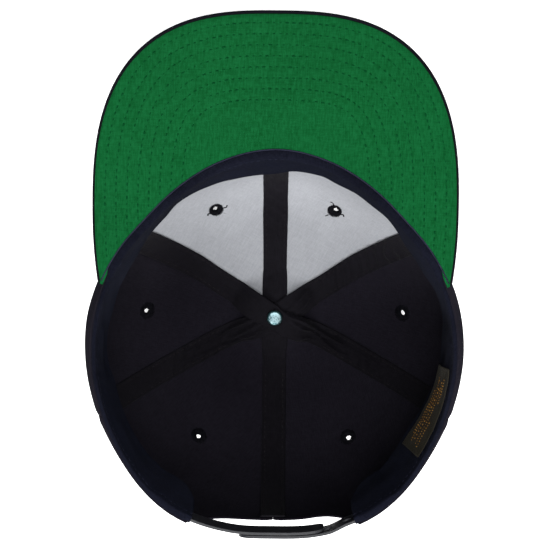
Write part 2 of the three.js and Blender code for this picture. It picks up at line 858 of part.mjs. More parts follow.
addPiece("strap_pegs", pegStrapGeometry(), looks.strap);
addPiece("strap_holes", holeStrapGeometry(), looks.strap);

// The origin is on the floor under the middle of the whole cap.
const box = new THREE.Box3().setFromObject(cap);
const middle = box.getCenter(new THREE.Vector3());
cap.position.set(-middle.x, -middle.y, -box.min.z);

export default cap;
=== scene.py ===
# Snapback cap lying upside down on its crown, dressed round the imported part
import math

import bpy
import numpy as np
from mathutils import Matrix, Vector
from mathutils.geometry import delaunay_2d_cdt


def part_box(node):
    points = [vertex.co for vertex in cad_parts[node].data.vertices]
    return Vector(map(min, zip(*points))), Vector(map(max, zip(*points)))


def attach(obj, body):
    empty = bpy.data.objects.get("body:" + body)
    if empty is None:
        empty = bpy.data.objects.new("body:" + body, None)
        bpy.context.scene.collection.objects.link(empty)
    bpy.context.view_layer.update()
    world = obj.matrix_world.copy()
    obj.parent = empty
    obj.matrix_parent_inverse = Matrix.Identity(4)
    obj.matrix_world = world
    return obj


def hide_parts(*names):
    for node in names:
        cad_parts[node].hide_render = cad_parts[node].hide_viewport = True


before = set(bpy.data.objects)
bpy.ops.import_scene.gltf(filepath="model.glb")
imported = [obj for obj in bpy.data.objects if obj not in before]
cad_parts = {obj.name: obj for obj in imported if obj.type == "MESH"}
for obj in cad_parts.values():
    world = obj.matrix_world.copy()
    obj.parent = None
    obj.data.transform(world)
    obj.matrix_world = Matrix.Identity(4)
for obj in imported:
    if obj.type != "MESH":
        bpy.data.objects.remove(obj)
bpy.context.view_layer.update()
scene = bpy.context.scene
scene.view_settings.view_transform = "Standard"
print("cap: frame loaded")

# Crown sizes of the part, in millimetres and degrees round the button's axis
crown = {
    "depth": 116, "rimHalfWidth": 93.5, "rimFrontReach": 88, "rimBackReach": 108,
    "panelThickness": 1.2, "clearance": 0.3, "seams": [0, 60, 118, 180],
    "leanAngle": 12, "pressedDepth": 8, "pressedSoftness": 3,
    "buttonRadius": 8, "buttonHeight": 4.2, "puckerSpread": 18,
    "buckramThickness": 1, "buckramTip": 4.5, "linerEnd": 0.87,
    "archHalfWidth": 44, "archHeight": 44,
}
rimShape = {
    "angle": [0, 18, 35, 50, 65, 80, 100, 125, 150, 168, 180],
    "share": [1.0, 0.98, 0.953, 0.94, 0.962, 0.985, 1.0, 1.012, 1.038, 1.015, 1.0],
}
profile = {
    "along": [0, 0.12, 0.24, 0.36, 0.47, 0.58, 0.69, 0.8, 0.9, 1],
    "depth": [0, 0.012, 0.048, 0.115, 0.21, 0.34, 0.5, 0.68, 0.84, 1],
    "front": [0, 0.21, 0.415, 0.61, 0.76, 0.865, 0.925, 0.962, 0.985, 1],
    "side": [0, 0.21, 0.41, 0.61, 0.785, 0.925, 1.02, 1.055, 1.042, 1],
    "back": [0, 0.205, 0.4, 0.59, 0.745, 0.865, 0.95, 0.99, 1.0, 1],
}
toRadians = math.pi / 180
metre = 0.001
rivetLow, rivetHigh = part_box("rivet")
axisPlace = np.array([(rivetLow.x + rivetHigh.x) / 2, (rivetLow.y + rivetHigh.y) / 2, 0])
bareInset = crown["panelThickness"] + crown["clearance"]
linedInset = bareInset + crown["buckramThickness"] + crown["clearance"]


def mix(a, b, share):
    return a + (b - a) * share


def ease(start, end, value):
    t = np.clip((np.asarray(value, float) - start) / (end - start), 0, 1)
    return t * t * (3 - 2 * t)


def readTable(keys, values, at, level=False):
    keys, values, at = np.array(keys, float), np.array(values, float), np.asarray(at, float)
    slopes = np.empty_like(values)
    slopes[1:-1] = (values[2:] - values[:-2]) / (keys[2:] - keys[:-2])
    slopes[0] = (values[1] - values[0]) / (keys[1] - keys[0])
    slopes[-1] = (values[-1] - values[-2]) / (keys[-1] - keys[-2])
    if level:
        slopes[[0, -1]] = 0
    i = np.clip(np.searchsorted(keys, at, side="left") - 1, 0, len(keys) - 2)
    width = keys[i + 1] - keys[i]
    t = (at - keys[i]) / width
    cubic = mix(values[i], values[i + 1], t * t * (3 - 2 * t))
    return cubic + t * (1 - t) ** 2 * width * slopes[i] + t * t * (t - 1) * width * slopes[i + 1]


def crossing(low, high, below):
    low, high = np.asarray(low, float), np.asarray(high, float)
    for _ in range(40):
        middle = (low + high) / 2
        under = below(middle)
        low, high = np.where(under, middle, low), np.where(under, high, middle)
    return high


# Smooth noise from -1 to 1, the same each run
def softNoise(x, y, seed):
    table = np.random.default_rng(seed).random((64, 64)) * 2 - 1
    i, j = np.floor(x).astype(int), np.floor(y).astype(int)
    s, t = ease(0, 1, x - i), ease(0, 1, y - j)
    low = mix(table[i % 64, j % 64], table[(i + 1) % 64, j % 64], s)
    high = mix(table[i % 64, (j + 1) % 64], table[(i + 1) % 64, (j + 1) % 64], s)
    return mix(low, high, t)


def rimReach(angle):
    turn = np.abs(angle)
    sine, cosine = np.sin(turn * toRadians), np.cos(turn * toRadians)
    halfLength = (crown["rimFrontReach"] + crown["rimBackReach"]) / 2
    centre = (crown["rimFrontReach"] - crown["rimBackReach"]) / 2
    a = (sine / crown["rimHalfWidth"]) ** 2 + (cosine / halfLength) ** 2
    b = -2 * centre * cosine / halfLength ** 2
    c = (centre / halfLength) ** 2 - 1
    oval = (-b + np.sqrt(b * b - 4 * a * c)) / (2 * a)
    return oval * readTable(rimShape["angle"], rimShape["share"], turn, level=True)


def rimPlan(angle, inset):
    def at(turn):
        reach = rimReach(turn)
        return np.stack([reach * np.sin(turn * toRadians), reach * np.cos(turn * toRadians)], -1)
    angle = np.asarray(angle, float)
    along = at(angle + 0.2) - at(angle - 0.2)
    along = along / np.linalg.norm(along, axis=-1, keepdims=True)
    inwards = np.stack([along[..., 1], -along[..., 0]], -1)
    return at(angle) + inwards * np.asarray(inset, float)[..., None]


def angleAtWidth(x, start):
    x = np.asarray(x, float)
    return crossing(np.full(x.shape, float(start)), np.full(x.shape, 90.0),
                    lambda angle: rimPlan(angle, 0)[..., 0] < x)


def unitVector(vector):
    return vector / np.maximum(np.linalg.norm(vector, axis=-1, keepdims=True), 1e-9)


# Visor plane, shared by the rim's front
visor = {
    "length": 70.5, "halfWidth": 91.8, "shoulder": 56, "squareness": 2.75, "slope": 7, "arch": 8,
    "earTuck": 4.8, "earTip": 2.2, "board": 1.8, "cloth": 1.2, "wrap": 1.5, "tuck": 0.15,
}
earAngle = float(angleAtWidth(visor["halfWidth"] - visor["earTuck"], 0))
ear = rimPlan(earAngle, 0)


def visorRise(x, y):
    slope = (y - ear[1]) * math.tan(visor["slope"] * toRadians)
    return slope - visor["arch"] * (1 - (x / ear[0]) ** 2)


def rimHeight(angle):
    plan = rimPlan(angle, 0)
    front = np.abs(angle) < earAngle
    return crown["depth"] + np.where(front, visorRise(plan[..., 0], plan[..., 1]), 0)


def profileReach(angle, along):
    cosine = np.cos(np.asarray(angle) * toRadians)
    front = readTable(profile["along"], profile["front"], along)
    back = readTable(profile["along"], profile["back"], along)
    side = readTable(profile["along"], profile["side"], along)
    return mix(np.where(cosine > 0, front, back), side, 1 - cosine ** 2)


def crownPoint(angle, along):
    reach = rimReach(angle) * profileReach(angle, along)
    height = readTable(profile["along"], profile["depth"], along) * rimHeight(angle)
    return np.stack([reach * np.sin(angle * toRadians), reach * np.cos(angle * toRadians), height], -1)


sineLean, cosineLean = math.sin(crown["leanAngle"] * toRadians), math.cos(crown["leanAngle"] * toRadians)


def turnedOver(points):
    x, y, z = points[..., 0], points[..., 1], points[..., 2]
    return np.stack([x, y * cosineLean + z * sineLean, z * cosineLean - y * sineLean], -1)


frontLine = turnedOver(crownPoint(np.zeros(101), np.linspace(0, 1, 101)))
sunk = -min(0, frontLine[:, 2].min()) - crown["pressedDepth"]


def laid(points):
    return turnedOver(points) + np.array([0, 0, sunk])


# Leaned, pressed flat under the crown and lifted over the button, as the part is
def settled(points):
    points = laid(points)
    soft = crown["pressedSoftness"]
    z = points[..., 2]
    z = np.where(z < -soft, 0, np.where(z < soft, (np.maximum(z, -soft) + soft) ** 2 / (4 * soft), z))
    around = crown["buttonRadius"] + crown["clearance"]
    lift = 1 - ease(around, around + crown["puckerSpread"], np.hypot(points[..., 0], points[..., 1]))
    z = z + (crown["buttonHeight"] + crown["clearance"]) * lift
    return np.stack([points[..., 0], points[..., 1], z], -1)


# Point of the crown in millimetres, moved inwards along the cloth's own normal
def crownAt(angle, along, inset):
    angle, along, inset = np.broadcast_arrays(
        np.asarray(angle, float), np.asarray(along, float), np.asarray(inset, float))
    step = 0.004
    outwards = (settled(crownPoint(angle, np.minimum(1, along + step)))
                - settled(crownPoint(angle, np.maximum(step, along - step))))
    around = settled(crownPoint(angle + 0.5, along)) - settled(crownPoint(angle - 0.5, along))
    inwards = unitVector(np.cross(around, outwards))
    return settled(crownPoint(angle, along)) + inwards * inset[..., None]


def alongAtReach(angle, radius):
    reach = rimReach(angle)
    return crossing(0 * reach, 0.5 + 0 * reach, lambda along: reach * profileReach(angle, along) < radius)


def alongAtDrop(drop):
    share = 1 - drop / crown["depth"]
    return float(crossing(0, 1, lambda along: readTable(profile["along"], profile["depth"], along) < share))


# Place along the profile where the cut-out above the strap starts
def alongAtArch(angle, margin=0):
    angle = np.asarray(angle, float)

    def whole(along):
        x = rimReach(angle) * profileReach(angle, along) * np.sin(angle * toRadians)
        drop = crown["depth"] * (1 - readTable(profile["along"], profile["depth"], along))
        wide = (x / (crown["archHalfWidth"] + margin)) ** 2
        return wide + (drop / (crown["archHeight"] + margin)) ** 2 > 1
    return crossing(np.full(angle.shape, 0.3), np.full(angle.shape, 1.0), whole)


# The cloth over the strap is drawn in beside the middle, more to the right
archPull = [
    {"x": -27, "spread": 12, "inward": 1.3}, {"x": 29, "spread": 13, "inward": 3.0},
    {"x": 0, "spread": 11, "inward": -0.5},
]


# Slow unevenness that all the layers of the crown share
def crownWave(angle, along):
    x, y = along * np.sin(angle * toRadians), along * np.cos(angle * toRadians)
    wave = (0.2 + 0.2 * softNoise(x * 7 + 20, y * 7 + 20, 4)) * (1 - ease(0.8, 0.95, along))
    wide = rimReach(angle) * np.sin(angle * toRadians)
    pull = sum(row["inward"] * np.exp(-((wide - row["x"]) / row["spread"]) ** 2) for row in archPull)
    behind = np.where(np.cos(angle * toRadians) < 0, ease(0.45, 0.78, along), 0)
    return wave + pull * behind * (1 - ease(36, 43, np.abs(wide)))


# Steps from 0 to 1 that crowd towards both ends
def crowded(count, crowd):
    t = np.linspace(0, 1, count)
    return t - crowd * np.sin(2 * np.pi * t) / (2 * np.pi)


# Half thickness of an edge that is rounded over a distance, as a share
def edgeShare(distance, radius):
    t = np.clip(distance / radius, 0, 1)
    return np.sqrt(np.clip(1 - (1 - t) ** 2, 0.02, 1))


def gridFaces(rows, columns, keep=None):
    i, j = np.meshgrid(np.arange(rows - 1), np.arange(columns - 1), indexing="ij")
    first = (i * columns + j).reshape(-1)
    faces = np.stack([first, first + 1, first + columns + 1, first + columns], 1)
    return faces if keep is None else faces[keep.reshape(-1)]


def meshObject(name, points, faces, material, cloth=None, sharp=55):
    mesh = bpy.data.meshes.new(name)
    mesh.from_pydata(points.tolist(), [], [list(face) for face in faces])
    if cloth is not None:
        corner = np.zeros(len(mesh.loops), np.int32)
        mesh.loops.foreach_get("vertex_index", corner)
        layer = mesh.uv_layers.new(name="cloth")
        layer.data.foreach_set("uv", cloth[corner].astype(np.float32).reshape(-1))
    mesh.polygons.foreach_set("use_smooth", np.ones(len(mesh.polygons), bool))
    mesh.set_sharp_from_angle(angle=math.radians(sharp))
    mesh.materials.append(material)
    mesh.update()
    piece = bpy.data.objects.new(name, mesh)
    scene.collection.objects.link(piece)
    return piece


# Closed wall between an outer and an inner skin that share their faces; points come in millimetres
def wallPiece(name, outer, inner, faces, cloth, material, sharp=55):
    faces = np.asarray(faces)
    used, order = np.unique(faces, return_inverse=True)
    faces = order.reshape(faces.shape)
    outer, inner, cloth = (item.reshape(-1, item.shape[-1])[used] for item in (outer, inner, cloth))
    count = len(outer)
    a, b = faces.reshape(-1).astype(np.int64), np.roll(faces, -1, axis=1).reshape(-1).astype(np.int64)
    free = ~np.isin(a * count + b, b * count + a)
    rim = np.stack([b[free], a[free], a[free] + count, b[free] + count], 1)
    points = np.concatenate([outer, inner])
    whole = [faces, faces[:, ::-1] + count, rim]
    volume = 0
    for part in whole:
        for k in range(1, part.shape[1] - 1):
            p, q, r = points[part[:, 0]], points[part[:, k]], points[part[:, k + 1]]
            volume += (p * np.cross(q, r)).sum()
    if volume < 0:
        whole = [part[:, ::-1] for part in whole]
    faceList = [face for part in whole for face in part.tolist()]
    return meshObject(name, points * metre + axisPlace, faceList, material,
                      np.concatenate([cloth, cloth]), sharp)


def settlePiece(piece, slot, *nodes):
    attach(piece, "root")
    if nodes:
        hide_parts(*nodes)
    return piece


# Camera, floor and lights
view = {
    "distance": 1.15, "tilt": -3.55, "roll": 0.525, "lens": 149.28, "above": 0.02725, "height": 0.11,
}


def placeCamera():
    axis, up = Vector((0, sineLean, cosineLean)), Vector((0, cosineLean, -sineLean))
    tilt, roll = math.radians(view["tilt"]), math.radians(view["roll"])
    back = axis * math.cos(tilt) - up * math.sin(tilt)
    lifted = up * math.cos(tilt) + axis * math.sin(tilt)
    right = Vector((1, 0, 0))
    centre = Vector(axisPlace) + up * view["above"] + axis * view["height"]
    across = right * math.cos(roll) + lifted * math.sin(roll)
    upwards = lifted * math.cos(roll) - right * math.sin(roll)
    place = Matrix.Identity(4)
    for k, column in enumerate((across, upwards, back, centre + back * view["distance"])):
        place[0][k], place[1][k], place[2][k] = column
    data = bpy.data.cameras.new("camera")
    data.lens, data.sensor_width = view["lens"], 36
    data.clip_start, data.clip_end = 0.05, 20
    camera = bpy.data.objects.new("camera", data)
    camera.matrix_world = place
    scene.collection.objects.link(camera)
    scene.camera = camera


placeCamera()

lights = [
    {"name": "keyLight", "place": (-0.1, -1.3, 1.45), "aim": (0, -0.02, 0.04), "size": 0.7, "power": 52},
    {"name": "overheadLight", "place": (-0.05, 0.2, 2.3), "aim": (0, 0, 0.05), "size": 1.2, "power": 38},
    {"name": "sideLight", "place": (1.4, 0.4, 1.1), "aim": (0, 0, 0.08), "size": 1.0, "power": 13},
]
for light in lights:
    data = bpy.data.lights.new(light["name"], "AREA")
    data.shape, data.size, data.energy = "DISK", light["size"], light["power"]
    lamp = bpy.data.objects.new(light["name"], data)
    lamp.location = light["place"]
    lamp.rotation_mode = "QUATERNION"
    towards = Vector(light["aim"]) - Vector(light["place"])
    lamp.rotation_quaternion = towards.to_track_quat("-Z", "Y")
    scene.collection.objects.link(lamp)
world = bpy.data.worlds.new("paleRoom")
world.use_nodes = True
world.node_tree.nodes["Background"].inputs["Color"].default_value = (1, 1, 1, 1)
world.node_tree.nodes["Background"].inputs["Strength"].default_value = 0.22
scene.world = world
print("cap: camera and lights placed")


# Shader building
def addNode(tree, kind, options=None, **inputs):
    made = tree.nodes.new(kind)
    for key, value in (options or {}).items():
        setattr(made, key, value)
    for key, value in inputs.items():
        socket = made.inputs[int(key[1:]) if key[1:].isdigit() else key.replace("_", " ")]
        if isinstance(value, bpy.types.NodeSocket):
            tree.links.new(value, socket)
        else:
            socket.default_value = value
    return made


def maths(tree, operation, a, b=0.0, c=0.0):
    return addNode(tree, "ShaderNodeMath", {"operation": operation}, i0=a, i1=b, i2=c).outputs[0]


def vectorMaths(tree, operation, a, b):
    return addNode(tree, "ShaderNodeVectorMath", {"operation": operation}, i0=a, i1=b).outputs[0]


def noiseAt(tree, place, scale, detail=2.0, **more):
    return addNode(tree, "ShaderNodeTexNoise", Vector=place, Scale=scale, Detail=detail, **more).outputs[0]


def blendColour(tree, share, a, b):
    return addNode(tree, "ShaderNodeMix", {"data_type": "RGBA"}, i0=share, i6=a, i7=b).outputs[2]


def objectPlace(tree):
    return addNode(tree, "ShaderNodeTexCoord").outputs["Object"]


# Colour, roughness and bump of a simple surface
def dress(tree, shader, colour, rough, strength, distance, height):
    tree.links.new(colour, shader.inputs["Base Color"])
    tree.links.new(rough, shader.inputs["Roughness"])
    bump = addNode(tree, "ShaderNodeBump", Strength=strength, Distance=distance, Height=height)
    tree.links.new(bump.outputs[0], shader.inputs["Normal"])


def shaderGroup(name, inputs, outputs):
    tree = bpy.data.node_groups.new(name, "ShaderNodeTree")
    for label, kind, value in inputs:
        socket = tree.interface.new_socket(label, in_out="INPUT", socket_type=kind)
        if value is not None:
            socket.default_value = value
    for label, kind in outputs:
        tree.interface.new_socket(label, in_out="OUTPUT", socket_type=kind)
    return tree, tree.nodes.new("NodeGroupInput"), tree.nodes.new("NodeGroupOutput")


floatKind, vectorKind = "NodeSocketFloat", "NodeSocketVector"


# Woven threads: ribs along a slant, or a plain over-and-under weave, from coordinates in metres
def buildWeave():
    tree, given, put = shaderGroup(
        "wovenThreads",
        [("Vector", vectorKind, None), ("Thread Pitch", floatKind, 0.0006), ("Twill", floatKind, 1.0),
         ("Unevenness", floatKind, 0.5), ("Slub", floatKind, 0.4), ("Bunches", floatKind, 1.0)],
        [("Height", floatKind), ("Tone", floatKind)])
    place = given.outputs["Vector"]
    split = addNode(tree, "ShaderNodeSeparateXYZ", Vector=place)
    turns = maths(tree, "DIVIDE", 2 * math.pi, given.outputs["Thread Pitch"])
    sway = maths(tree, "MULTIPLY", maths(tree, "SUBTRACT", noiseAt(tree, place, 90.0), 0.5),
                 maths(tree, "MULTIPLY", given.outputs["Unevenness"], 9.0))
    x = maths(tree, "MULTIPLY", split.outputs["X"], turns)
    y = maths(tree, "MULTIPLY", split.outputs["Y"], turns)
    ribs = maths(tree, "SINE", maths(tree, "ADD", maths(tree, "ADD", x, y), sway))
    crossThread = maths(tree, "SINE", maths(tree, "SUBTRACT", maths(tree, "MULTIPLY", y, 2.0), x))
    twill = maths(tree, "MULTIPLY_ADD", crossThread, 0.35, ribs)
    over = maths(tree, "MULTIPLY", maths(tree, "SINE", maths(tree, "ADD", x, sway)), maths(tree, "SINE", y))
    plain = maths(tree, "MULTIPLY", over, 1.2)
    height = addNode(tree, "ShaderNodeMix", {"data_type": "FLOAT"}, i0=given.outputs["Twill"], i2=plain,
                     i3=twill)
    # Thick and thin threads run both ways
    warp, weft = (noiseAt(tree, vectorMaths(tree, "MULTIPLY", place, by), 1.0, 1.0)
                  for by in ((2200, 130, 130), (130, 2200, 130)))
    threads = maths(tree, "SUBTRACT", maths(tree, "ADD", warp, weft), 1.0)
    scaled = maths(tree, "MULTIPLY_ADD", height.outputs[0], 0.4, 0.5)
    slub = maths(tree, "MULTIPLY_ADD", threads, given.outputs["Slub"], scaled)
    # Bunches of threads, about half a millimetre wide
    bunchA, bunchB = (noiseAt(tree, vectorMaths(tree, "MULTIPLY", place, by), 1.0)
                      for by in ((1600, 260, 500), (330, 1600, 500)))
    bunch = maths(tree, "MULTIPLY_ADD", bunchB, 0.6, bunchA)
    grain = maths(tree, "MULTIPLY", maths(tree, "SUBTRACT", bunch, 0.8), given.outputs["Bunches"])
    tree.links.new(slub, put.inputs["Height"])
    tree.links.new(maths(tree, "ADD", slub, grain), put.inputs["Tone"])
    return tree


# Lint, dust and slow fading of a cloth
def buildLint():
    tree, given, put = shaderGroup(
        "lintAndFade", [("Vector", vectorKind, None), ("Amount", floatKind, 0.3)],
        [("Lint", floatKind), ("Fade", floatKind)])
    place = given.outputs["Vector"]
    fibre = noiseAt(tree, place, 700.0, 3.0, Roughness=0.7, Distortion=1.5)
    patch = noiseAt(tree, place, 28.0, 4.0)
    speck = addNode(tree, "ShaderNodeMapRange", Value=fibre, From_Min=0.62, From_Max=0.8)
    lint = maths(tree, "MULTIPLY", speck.outputs[0], patch)
    tree.links.new(maths(tree, "MULTIPLY", lint, given.outputs["Amount"]), put.inputs["Lint"])
    tree.links.new(patch, put.inputs["Fade"])
    return tree


# Fine scratches and smudges of a hard surface
def buildScratches():
    tree, given, put = shaderGroup(
        "fineScratches",
        [("Vector", vectorKind, None), ("Scale", floatKind, 400.0), ("Threshold", floatKind, 0.6)],
        [("Scratch", floatKind), ("Smudge", floatKind)])
    place, scale, threshold = (given.outputs[name] for name in ("Vector", "Scale", "Threshold"))
    bent = noiseAt(tree, place, scale, 3.0, Distortion=2.5)
    line = addNode(tree, "ShaderNodeMapRange", Value=bent, From_Min=threshold,
                   From_Max=maths(tree, "ADD", threshold, 0.06))
    broad = noiseAt(tree, place, maths(tree, "MULTIPLY", scale, 0.2))
    tree.links.new(line.outputs[0], put.inputs["Scratch"])
    tree.links.new(broad, put.inputs["Smudge"])
    return tree


weaveGroup, lintGroup, scratchGroup = buildWeave(), buildLint(), buildScratches()


def useGroup(tree, group, **inputs):
    return addNode(tree, "ShaderNodeGroup", {"node_tree": group}, **inputs)


def newMaterial(name, sheen=0.0, sheenRoughness=0.5, metallic=0.0, specular=0.5):
    material = bpy.data.materials.new(name)
    material.use_nodes = True
    tree = material.node_tree
    shader = tree.nodes["Principled BSDF"]
    shader.inputs["Sheen Weight"].default_value = sheen
    shader.inputs["Sheen Roughness"].default_value = sheenRoughness
    shader.inputs["Metallic"].default_value = metallic
    shader.inputs["Specular IOR Level"].default_value = specular
    return material, tree, shader


def clothMaterial(name, look):
    material, tree, shader = newMaterial(name, look["sheen"], 0.45, 0, look["gloss"])
    if look["follow"]:
        source = addNode(tree, "ShaderNodeUVMap", {"uv_map": "cloth"}).outputs[0]
    else:
        source = objectPlace(tree)
    turned = addNode(tree, "ShaderNodeMapping", Vector=source, Rotation=(0, 0, math.radians(look["turn"])))
    weave = useGroup(tree, weaveGroup, Vector=turned.outputs[0], Thread_Pitch=look["pitch"],
                     Twill=look["twill"], Unevenness=look["uneven"], Slub=look["slub"], Bunches=look["bunch"])
    place = objectPlace(tree)
    lint = useGroup(tree, lintGroup, Vector=place, Amount=look["lint"])
    dark, light = (*look["dark"], 1), (*look["light"], 1)
    base = blendColour(tree, weave.outputs["Tone"], dark, light)
    fade = addNode(tree, "ShaderNodeMapRange", Value=lint.outputs["Fade"], From_Min=0.3, From_Max=0.7,
                   To_Min=1 - look["fade"], To_Max=1 + look["fade"])
    faded = addNode(tree, "ShaderNodeVectorMath", {"operation": "SCALE"}, i0=base, Scale=fade.outputs[0])
    dusty = blendColour(tree, lint.outputs["Lint"], faded.outputs[0], (*look["dust"], 1))
    tree.links.new(dusty, shader.inputs["Base Color"])
    rough = maths(tree, "MULTIPLY_ADD", weave.outputs["Tone"], 0.16, look["rough"] - 0.08)
    tree.links.new(rough, shader.inputs["Roughness"])
    bump = addNode(tree, "ShaderNodeBump", Strength=look["relief"], Distance=look["pitch"] * 0.45,
                   Height=weave.outputs["Height"])
    soft = addNode(tree, "ShaderNodeBump", Strength=look["crease"], Distance=0.0012,
                   Height=noiseAt(tree, place, 60.0, 4.0), Normal=bump.outputs[0])
    tree.links.new(soft.outputs[0], shader.inputs["Normal"])
    return material


# Lengths in metres, turn in degrees, the rest shares; follow keeps the weave on the cut cloth
commonCloth = {"pitch": 0.00075, "twill": 1.0, "uneven": 0.4, "slub": 0.5, "bunch": 0.9, "turn": 0,
    "sheen": 0.01, "gloss": 0.0, "rough": 0.86, "relief": 0.5, "crease": 0.8, "lint": 0.25,
    "fade": 0.12, "follow": True}
cloths = {
    "crownTwill": {"dark": (0.0072, 0.0064, 0.0098), "light": (0.0165, 0.015, 0.0215), "uneven": 0.35,
        "bunch": 1.1, "turn": 14, "sheen": 0.008, "relief": 0.8, "crease": 0.35,
        "dust": (0.03, 0.03, 0.036)},
    "stiffener": {"dark": (0.232, 0.239, 0.257), "light": (0.325, 0.333, 0.354), "pitch": 0.0007,
        "twill": 0.15, "uneven": 0.8, "turn": 28, "sheen": 0.03, "gloss": 0.1, "rough": 0.84,
        "crease": 0.15, "lint": 0.1, "fade": 0.04, "dust": (0.6, 0.6, 0.62), "follow": False},
    "tapeCotton": {"dark": (0.0026, 0.0023, 0.0032), "light": (0.0086, 0.0078, 0.0106), "pitch": 0.0005,
        "twill": 0.3, "slub": 0.4, "sheen": 0.02, "gloss": 0.03, "rough": 0.7, "crease": 0.5, "lint": 0.3,
        "fade": 0.15, "dust": (0.035, 0.035, 0.04)},
    "bandCloth": {"dark": (0.003, 0.0036, 0.0074), "light": (0.0078, 0.0091, 0.0178), "pitch": 0.00055,
        "twill": 0.8, "slub": 0.4, "turn": 30, "rough": 0.82, "relief": 0.6, "fade": 0.15,
        "dust": (0.012, 0.015, 0.03)},
    "bindingCloth": {"dark": (0.003, 0.0034, 0.0066), "light": (0.0092, 0.0101, 0.0178), "pitch": 0.0006,
        "twill": 0.8, "slub": 0.4, "bunch": 1.2, "turn": 20, "rough": 0.84, "relief": 0.7, "lint": 0.4,
        "fade": 0.2, "dust": (0.02, 0.022, 0.04)},
    "visorTwill": {"dark": (0.0036, 0.0034, 0.0052), "light": (0.0088, 0.0084, 0.0125), "uneven": 0.35,
        "bunch": 1.1, "turn": 40, "sheen": 0.008, "relief": 0.8, "crease": 0.2,
        "dust": (0.03, 0.03, 0.036), "follow": False},
    "greenCloth": {"dark": (0.0014, 0.05, 0.0105), "light": (0.0048, 0.086, 0.0235), "pitch": 0.0008,
        "twill": 0.1, "slub": 0.55, "bunch": 2.1, "turn": 1.5, "gloss": 0.02, "rough": 0.88, "relief": 0.6,
        "crease": 0.1, "lint": 0.06, "fade": 0.05, "dust": (0.05, 0.18, 0.08), "follow": False},
    "labelSatin": {"dark": (0.0095, 0.0084, 0.0052), "light": (0.024, 0.0205, 0.0128), "pitch": 0.0004,
        "twill": 0.0, "uneven": 0.2, "slub": 0.3, "bunch": 0.6, "sheen": 0.03, "gloss": 0.05, "rough": 0.6,
        "crease": 0.2, "lint": 0.1, "fade": 0.1, "dust": (0.05, 0.05, 0.04)},
}
clothOf = {name: clothMaterial(name, {**commonCloth, **look}) for name, look in cloths.items()}


# Twisted thread: a slow colour change and a fine twist
def threadMaterial(name, dark, light, rough=0.7):
    material, tree, shader = newMaterial(name, 0.0, 0.4, 0, 0.0)
    place = objectPlace(tree)
    twist = addNode(tree, "ShaderNodeTexWave", {"bands_direction": "DIAGONAL"}, Vector=place, Scale=900.0,
                    Distortion=1.0)
    patch = noiseAt(tree, place, 260.0)
    shade = maths(tree, "MULTIPLY", twist.outputs[1], patch)
    dress(tree, shader, blendColour(tree, shade, (*dark, 1), (*light, 1)),
          maths(tree, "MULTIPLY_ADD", patch, 0.2, rough - 0.1), 0.5, 0.00008, twist.outputs[1])
    return material


greenThread = threadMaterial("greenThread", (0.0011, 0.035, 0.0085), (0.0042, 0.072, 0.02))
navyThread = threadMaterial("navyThread", (0.009, 0.01, 0.019), (0.042, 0.045, 0.075))
duskThread = threadMaterial("duskThread", (0.008, 0.0072, 0.008), (0.034, 0.03, 0.033))
blackThread = threadMaterial("blackThread", (0.003, 0.003, 0.004), (0.014, 0.014, 0.018))
goldThread = threadMaterial("goldThread", (0.16, 0.075, 0.017), (0.56, 0.31, 0.085), 0.5)


# Cast rivet: pale bluish metal with dark scribbles where the finish has worn, and a dark ring of painted shade
# round its edge
def rivetMaterial():
    material, tree, shader = newMaterial("rivetMetal", 0, 0.5, 0.9)
    place = objectPlace(tree)
    marks = useGroup(tree, scratchGroup, Vector=place, Scale=640.0, Threshold=0.53)
    centred = vectorMaths(tree, "SUBTRACT", place, tuple(axisPlace))
    flat = vectorMaths(tree, "MULTIPLY", centred, (1, 1, 0))
    reach = addNode(tree, "ShaderNodeVectorMath", {"operation": "LENGTH"}, i0=flat)
    # Dark teal ring at the head's outer edge is painted shade, standing in for the shadow in the gap round the
    # rivet
    edge = addNode(tree, "ShaderNodeMapRange", Value=reach.outputs[1], From_Min=0.0031, From_Max=0.0037)
    pale = blendColour(tree, marks.outputs["Smudge"], (0.13, 0.215, 0.24, 1), (0.27, 0.37, 0.39, 1))
    scribbled = blendColour(tree, marks.outputs["Scratch"], pale, (0.03, 0.085, 0.1, 1))
    shadedRim = blendColour(tree, edge.outputs[0], scribbled, (0.02, 0.06, 0.065, 1))
    dress(tree, shader, shadedRim, maths(tree, "MULTIPLY_ADD", marks.outputs["Smudge"], 0.25, 0.28), 0.5, 0.0001,
          marks.outputs["Scratch"])
    return material


# Moulded strap: dull dark plastic with faint rubbing marks
def strapMaterial():
    material, tree, shader = newMaterial("strapPlastic", 0, 0.5, 0, 0.25)
    place = objectPlace(tree)
    marks = useGroup(tree, scratchGroup, Vector=place, Scale=160.0, Threshold=0.64)
    base = blendColour(tree, marks.outputs["Smudge"], (0.0095, 0.01, 0.0125, 1), (0.019, 0.0195, 0.024, 1))
    faint = maths(tree, "MULTIPLY", marks.outputs["Scratch"], 0.25)
    dress(tree, shader, blendColour(tree, faint, base, (0.06, 0.06, 0.068, 1)),
          maths(tree, "MULTIPLY_ADD", marks.outputs["Smudge"], 0.2, 0.36), 0.25, 0.0001,
          noiseAt(tree, place, 2600.0))
    return material


def floorMaterial():
    material, tree, shader = newMaterial("paleFloor", 0, 0.5, 0, 0.1)
    place = objectPlace(tree)
    pale = blendColour(tree, noiseAt(tree, place, 3.0), (0.9, 0.9, 0.9, 1), (0.94, 0.94, 0.94, 1))
    tree.links.new(pale, shader.inputs["Base Color"])
    shader.inputs["Roughness"].default_value = 0.9
    shader.inputs["Emission Color"].default_value = (1, 1, 1, 1)
    shader.inputs["Emission Strength"].default_value = 0.6
    return material


